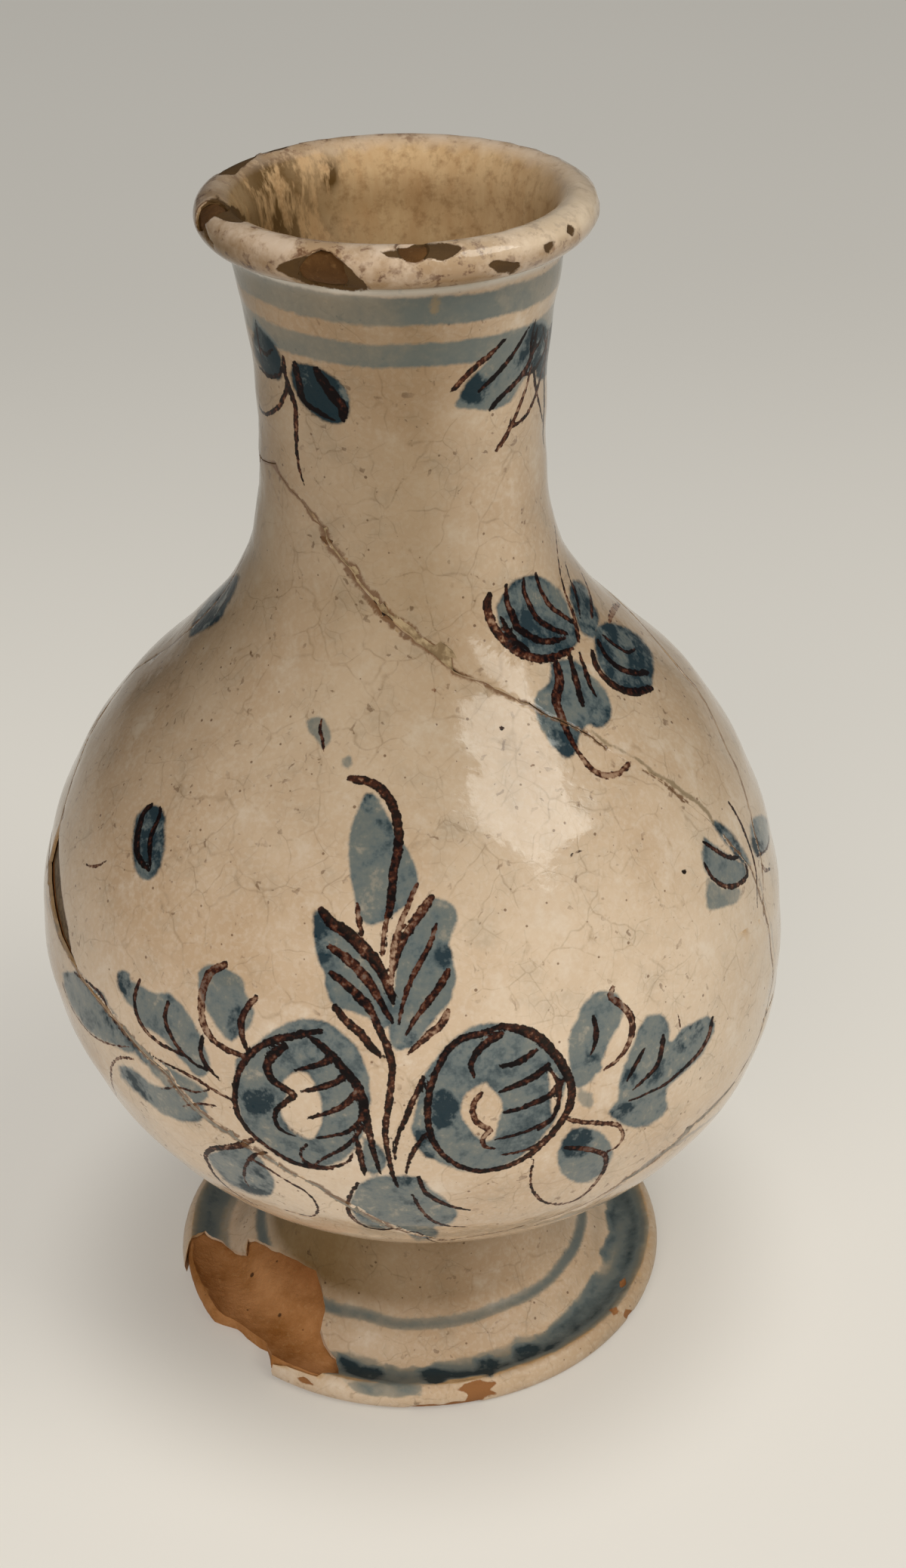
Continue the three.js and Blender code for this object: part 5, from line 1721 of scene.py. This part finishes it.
    def paint(self, made: bpy.types.Object, piece: Piece, upright: np.ndarray, depth: np.ndarray,
              normals: np.ndarray) -> np.ndarray:
        """Close a glaze's breaks, chip it, and keep on it the maps of what was painted and worn.

        Args:
            made: the piece's object.
            piece: which piece.
            upright: its corners.
            depth: how far below the outside each corner lies.
            normals: which way the surface faces there.

        Returns:
            The corners, moved.
        """
        broken = self.break_distance(made, upright, depth)
        upright = self.close_gaps(made, upright, depth, self.crack_reach, self.tighter)
        upright -= normals * (self.worn_edge * np.clip(1 - broken / 0.7, 0, 1) ** 2 * (depth < 0.1))[:, None]
        if piece.of_foot:
            strokes, smears, washes = [], [], self.painter.blots_at(upright, normals)
        else:
            strokes, smears = self.painter.strokes, self.painter.smears
            washes = self.painter.washes_at(upright, normals)
        lines = self.painter.lines_at(upright, strokes)
        smeared = self.painter.lines_at(upright, smears)
        lost = self.chipped(upright) + layered_noise(upright, (0.35, 2.2, 21))
        lost = np.where((upright[:, 2] > LIP_FROM) | piece.of_foot, lost, FAR)
        upright -= normals * (np.clip(0.15 - lost, 0, self.chip_depth) * (depth < 0.2))[:, None]
        hidden = (depth > 0.3)[:, None]
        washed = np.stack([washes[:, 0], washes[:, 1], lines[:, 3]], 1)
        for name, rows in (
                ("line_map", np.where(hidden, (FAR, 0, FAR), lines[:, :3])),
                ("wash_map", np.where(hidden, (FAR, 0.4, 0.5), washed)),
                ("wear_map", np.stack([broken, lost, smeared[:, 2]], 1)),
                ("place_map", self.places_on_pot(upright, normals)),
                ("painted_light_and_smear_map", self.shade_highlight_and_smear(upright, smeared[:, 3]))):
            layer = made.data.attributes.new(name, "FLOAT_VECTOR", "POINT")
            layer.data.foreach_set("vector", rows.astype(np.float32).ravel())
        return upright

    def press_in(self, made: bpy.types.Object, upright: np.ndarray, depth: np.ndarray,
                 normals: np.ndarray) -> np.ndarray:
        """Press a filling into its gap: it meets the sherds on both sides, lies a little low and is rough.

        Args:
            made: the piece's object.
            upright: its corners.
            depth: how far below the outside each corner lies.
            normals: which way the surface faces there.

        Returns:
            The corners, moved.
        """
        ends = depth < 1.2
        turn = np.degrees(turn_and_radius(upright)[0])
        far_end = ends & (turn > 9) & (upright[:, 2] > 130)
        grown = self.close_gaps(made, upright, depth, 0.3) - upright
        upright = upright + grown * np.where(far_end, 4.5, np.where(ends, 1.0, 0.3))[:, None]
        rough = layered_noise(upright, (0.06, 2.2, 51), (0.04, 0.9, 53)) - 0.16
        return upright + normals * (rough * (depth < 0.2))[:, None]

    def shape(self, piece: Piece, material: bpy.types.Material) -> bpy.types.Object:
        """Make one piece and give it its finish.

        Args:
            piece: which piece.
            material: its finish.

        Returns:
            The finished object.
        """
        made = self.take(piece)
        self.refine(made, piece)
        raw = self.places(made)
        depth = self.depth_of(raw, piece)
        upright = self.pot.settle(raw, piece.of_foot)
        made.data.vertices.foreach_set("co", (upright * MM).ravel())
        made.data.update()
        normals = read_rows(made.data.vertex_normals, "vector")
        if piece.coat is Coat.GLAZE:
            upright = self.paint(made, piece, upright, depth, normals)
        elif piece.coat is Coat.FILLER:
            upright = self.press_in(made, upright, depth, normals)
        elif not piece.of_foot:
            # The clay rises into the lip's roll, so that it shows where the glaze is chipped.
            upright += normals * (0.3 * ramp(upright[:, 2], 206, 4) * (depth < 2))[:, None]
        # The foot's ring is ground flat: no jog of the hand takes it below the floor.
        upright[:, 2] = np.maximum(upright[:, 2], 0)
        made.data.vertices.foreach_set("co", (self.pot.tilt(upright) * MM).ravel())
        made.data.update()
        made.data.materials.append(material)
        bpy.ops.object.shade_smooth_by_angle(angle=math.radians(38))
        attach(made, "root")
        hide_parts(piece.node)
        return made


@dataclass
class Studio:
    """A plain pale floor and backdrop, soft lamps, and the camera."""

    eye: Eye
    floor_size: float = 6.0
    floor_tone: str = "#b7b2ab"
    floor_pale: str = "#bdb8b1"
    glow: str = "#eeeae0"
    sky_tone: str = "#e8eaec"
    sky: float = 0.14

    def lamp(self, name: str, place: tuple[float, float, float], size: tuple[float, float],
             watts: float, tone: str) -> bpy.types.Object:
        """Add a soft lamp that faces the middle of the jar.

        Args:
            name: what it is called.
            place: where it stands, in metres.
            size: its width and height, in metres.
            watts: its power.
            tone: its colour.

        Returns:
            The lamp.
        """
        data = bpy.data.lights.new(name, "AREA")
        data.shape, data.size, data.size_y = "RECTANGLE", size[0], size[1]
        data.energy, data.color = watts, linear(tone)[:3]
        lamp = bpy.data.objects.new(name, data)
        bpy.context.scene.collection.objects.link(lamp)
        turn = (Vector(place) - Vector((0, 0, 0.11))).to_track_quat("Z", "Y")
        lamp.matrix_world = Matrix.Translation(place) @ turn.to_matrix().to_4x4()
        return lamp

    def build(self) -> None:
        """Set up floor, sky, lamps and camera."""
        bpy.ops.object.select_all(action="DESELECT")
        bpy.ops.mesh.primitive_plane_add(size=self.floor_size, location=(0, 0, 0))
        floor = bpy.context.active_object
        floor.name = "floor"
        bench = Bench("painted_board")
        add, place = bench.add, bench.place
        # Faint clouds of a third of a metre in the board's paint.
        soft = add("TexNoise", {"Vector": place, "Scale": 3.0, "Detail": 3.0})
        tone = add("Mix", {0: soft, 6: self.floor_tone, 7: self.floor_pale}, 2, **COLOURS)
        # The board glows a little of itself, painted light like the lit shelf of a case, and darkens towards
        # the back.
        apart = add("SeparateXYZ", {0: place}, 1)
        far = add("MapRange", {0: apart, 1: 0.06, 2: 0.62, 3: 1.0, 4: 0.79}, **SOFT)
        tone = add("Mix", {0: far, 6: "#000000", 7: tone}, 2, **COLOURS)
        # Painted shadow: the glow is halved round the jar's foot, fading out from 46 to 84 mm off its axis.
        flat = add("VectorMath", {0: place}, "Value", operation="LENGTH")
        shaded = add("MapRange", {0: flat, 1: 0.046, 2: 0.084, 3: 0.5, 4: 1.0}, **SOFT)
        strength = add("Math", {0: far, 1: 0.45}, operation="MULTIPLY")
        strength = add("Math", {0: strength, 1: shaded}, operation="MULTIPLY")
        shader = add("BsdfPrincipled", {"Base Color": tone, "Roughness": 0.8, "Emission Color": self.glow,
                                        "Emission Strength": strength})
        add("OutputMaterial", {"Surface": shader}, None)
        floor.data.materials.append(bench.material)
        world = bpy.data.worlds.new("studio")
        bpy.context.scene.world = world
        world.use_nodes = True
        back = world.node_tree.nodes["Background"]
        back.inputs[0].default_value = linear(self.sky_tone)
        back.inputs[1].default_value = self.sky
        self.lamp("window", (0.90, -0.54, 1.36), (0.8, 1.1), 13.7, "#fcfbf3")
        self.lamp("front", (-0.44, -1.46, 1.05), (1.3, 1.0), 16.4, "#fffaf4").visible_glossy = False
        self.eye.install()
        bpy.context.scene.view_settings.view_transform = "Standard"


SHERDS = ("neck", "front", "left", "back", "base")
PIECES = (
    *(Piece(f"{part}_sherd", f"{part}_clay", Coat.CLAY) for part in SHERDS),
    Piece("foot", "foot_clay", Coat.CLAY, True, 1.5),
    *(Piece(f"{part}_glaze", f"{part}_coat", Coat.GLAZE) for part in SHERDS),
    Piece("foot_glaze", "foot_coat", Coat.GLAZE, True, 1.2),
    *(Piece(f"{gap}_fill", f"{gap}_filling", Coat.FILLER, coarse=1.0)
      for gap in ("shoulder", "right_flank", "lower_left", "left_gap")),
)


def main() -> None:
    """Build the jar piece by piece, then the studio."""
    logging.basicConfig(level=logging.INFO, format="%(name)s %(relativeCreated)d ms: %(message)s")
    eye, pot = Eye(), Throwing()
    painter = Painter(eye, pot)
    potter = Potter(eye, pot, painter)
    finishes = {Coat.GLAZE: TinGlaze().build(), Coat.CLAY: Terracotta().build(),
                Coat.FILLER: Filler().build()}
    special = {
        "neck_clay": Terracotta("terracotta_soiled_at_the_lip", "#7d5c35", "#5c4122", "#94764e").build(),
        "right_flank_filling": Filler("tinted_filler_grey", "#9d9386", "#7c7367").build(),
        "lower_left_filling": Filler("tinted_filler_slate", "#948c7e", "#777064").build(),
        "left_gap_filling": Filler("tinted_filler_brown", "#6e5a40", "#4a3820").build(),
    }
    for piece in PIECES:
        made = potter.shape(piece, special.get(piece.name, finishes[piece.coat]))
        LOG.info("%s: %d corners, %d faces", piece.name, len(made.data.vertices), len(made.data.polygons))
    Studio(eye).build()


if __name__ == "__main__":
    main()
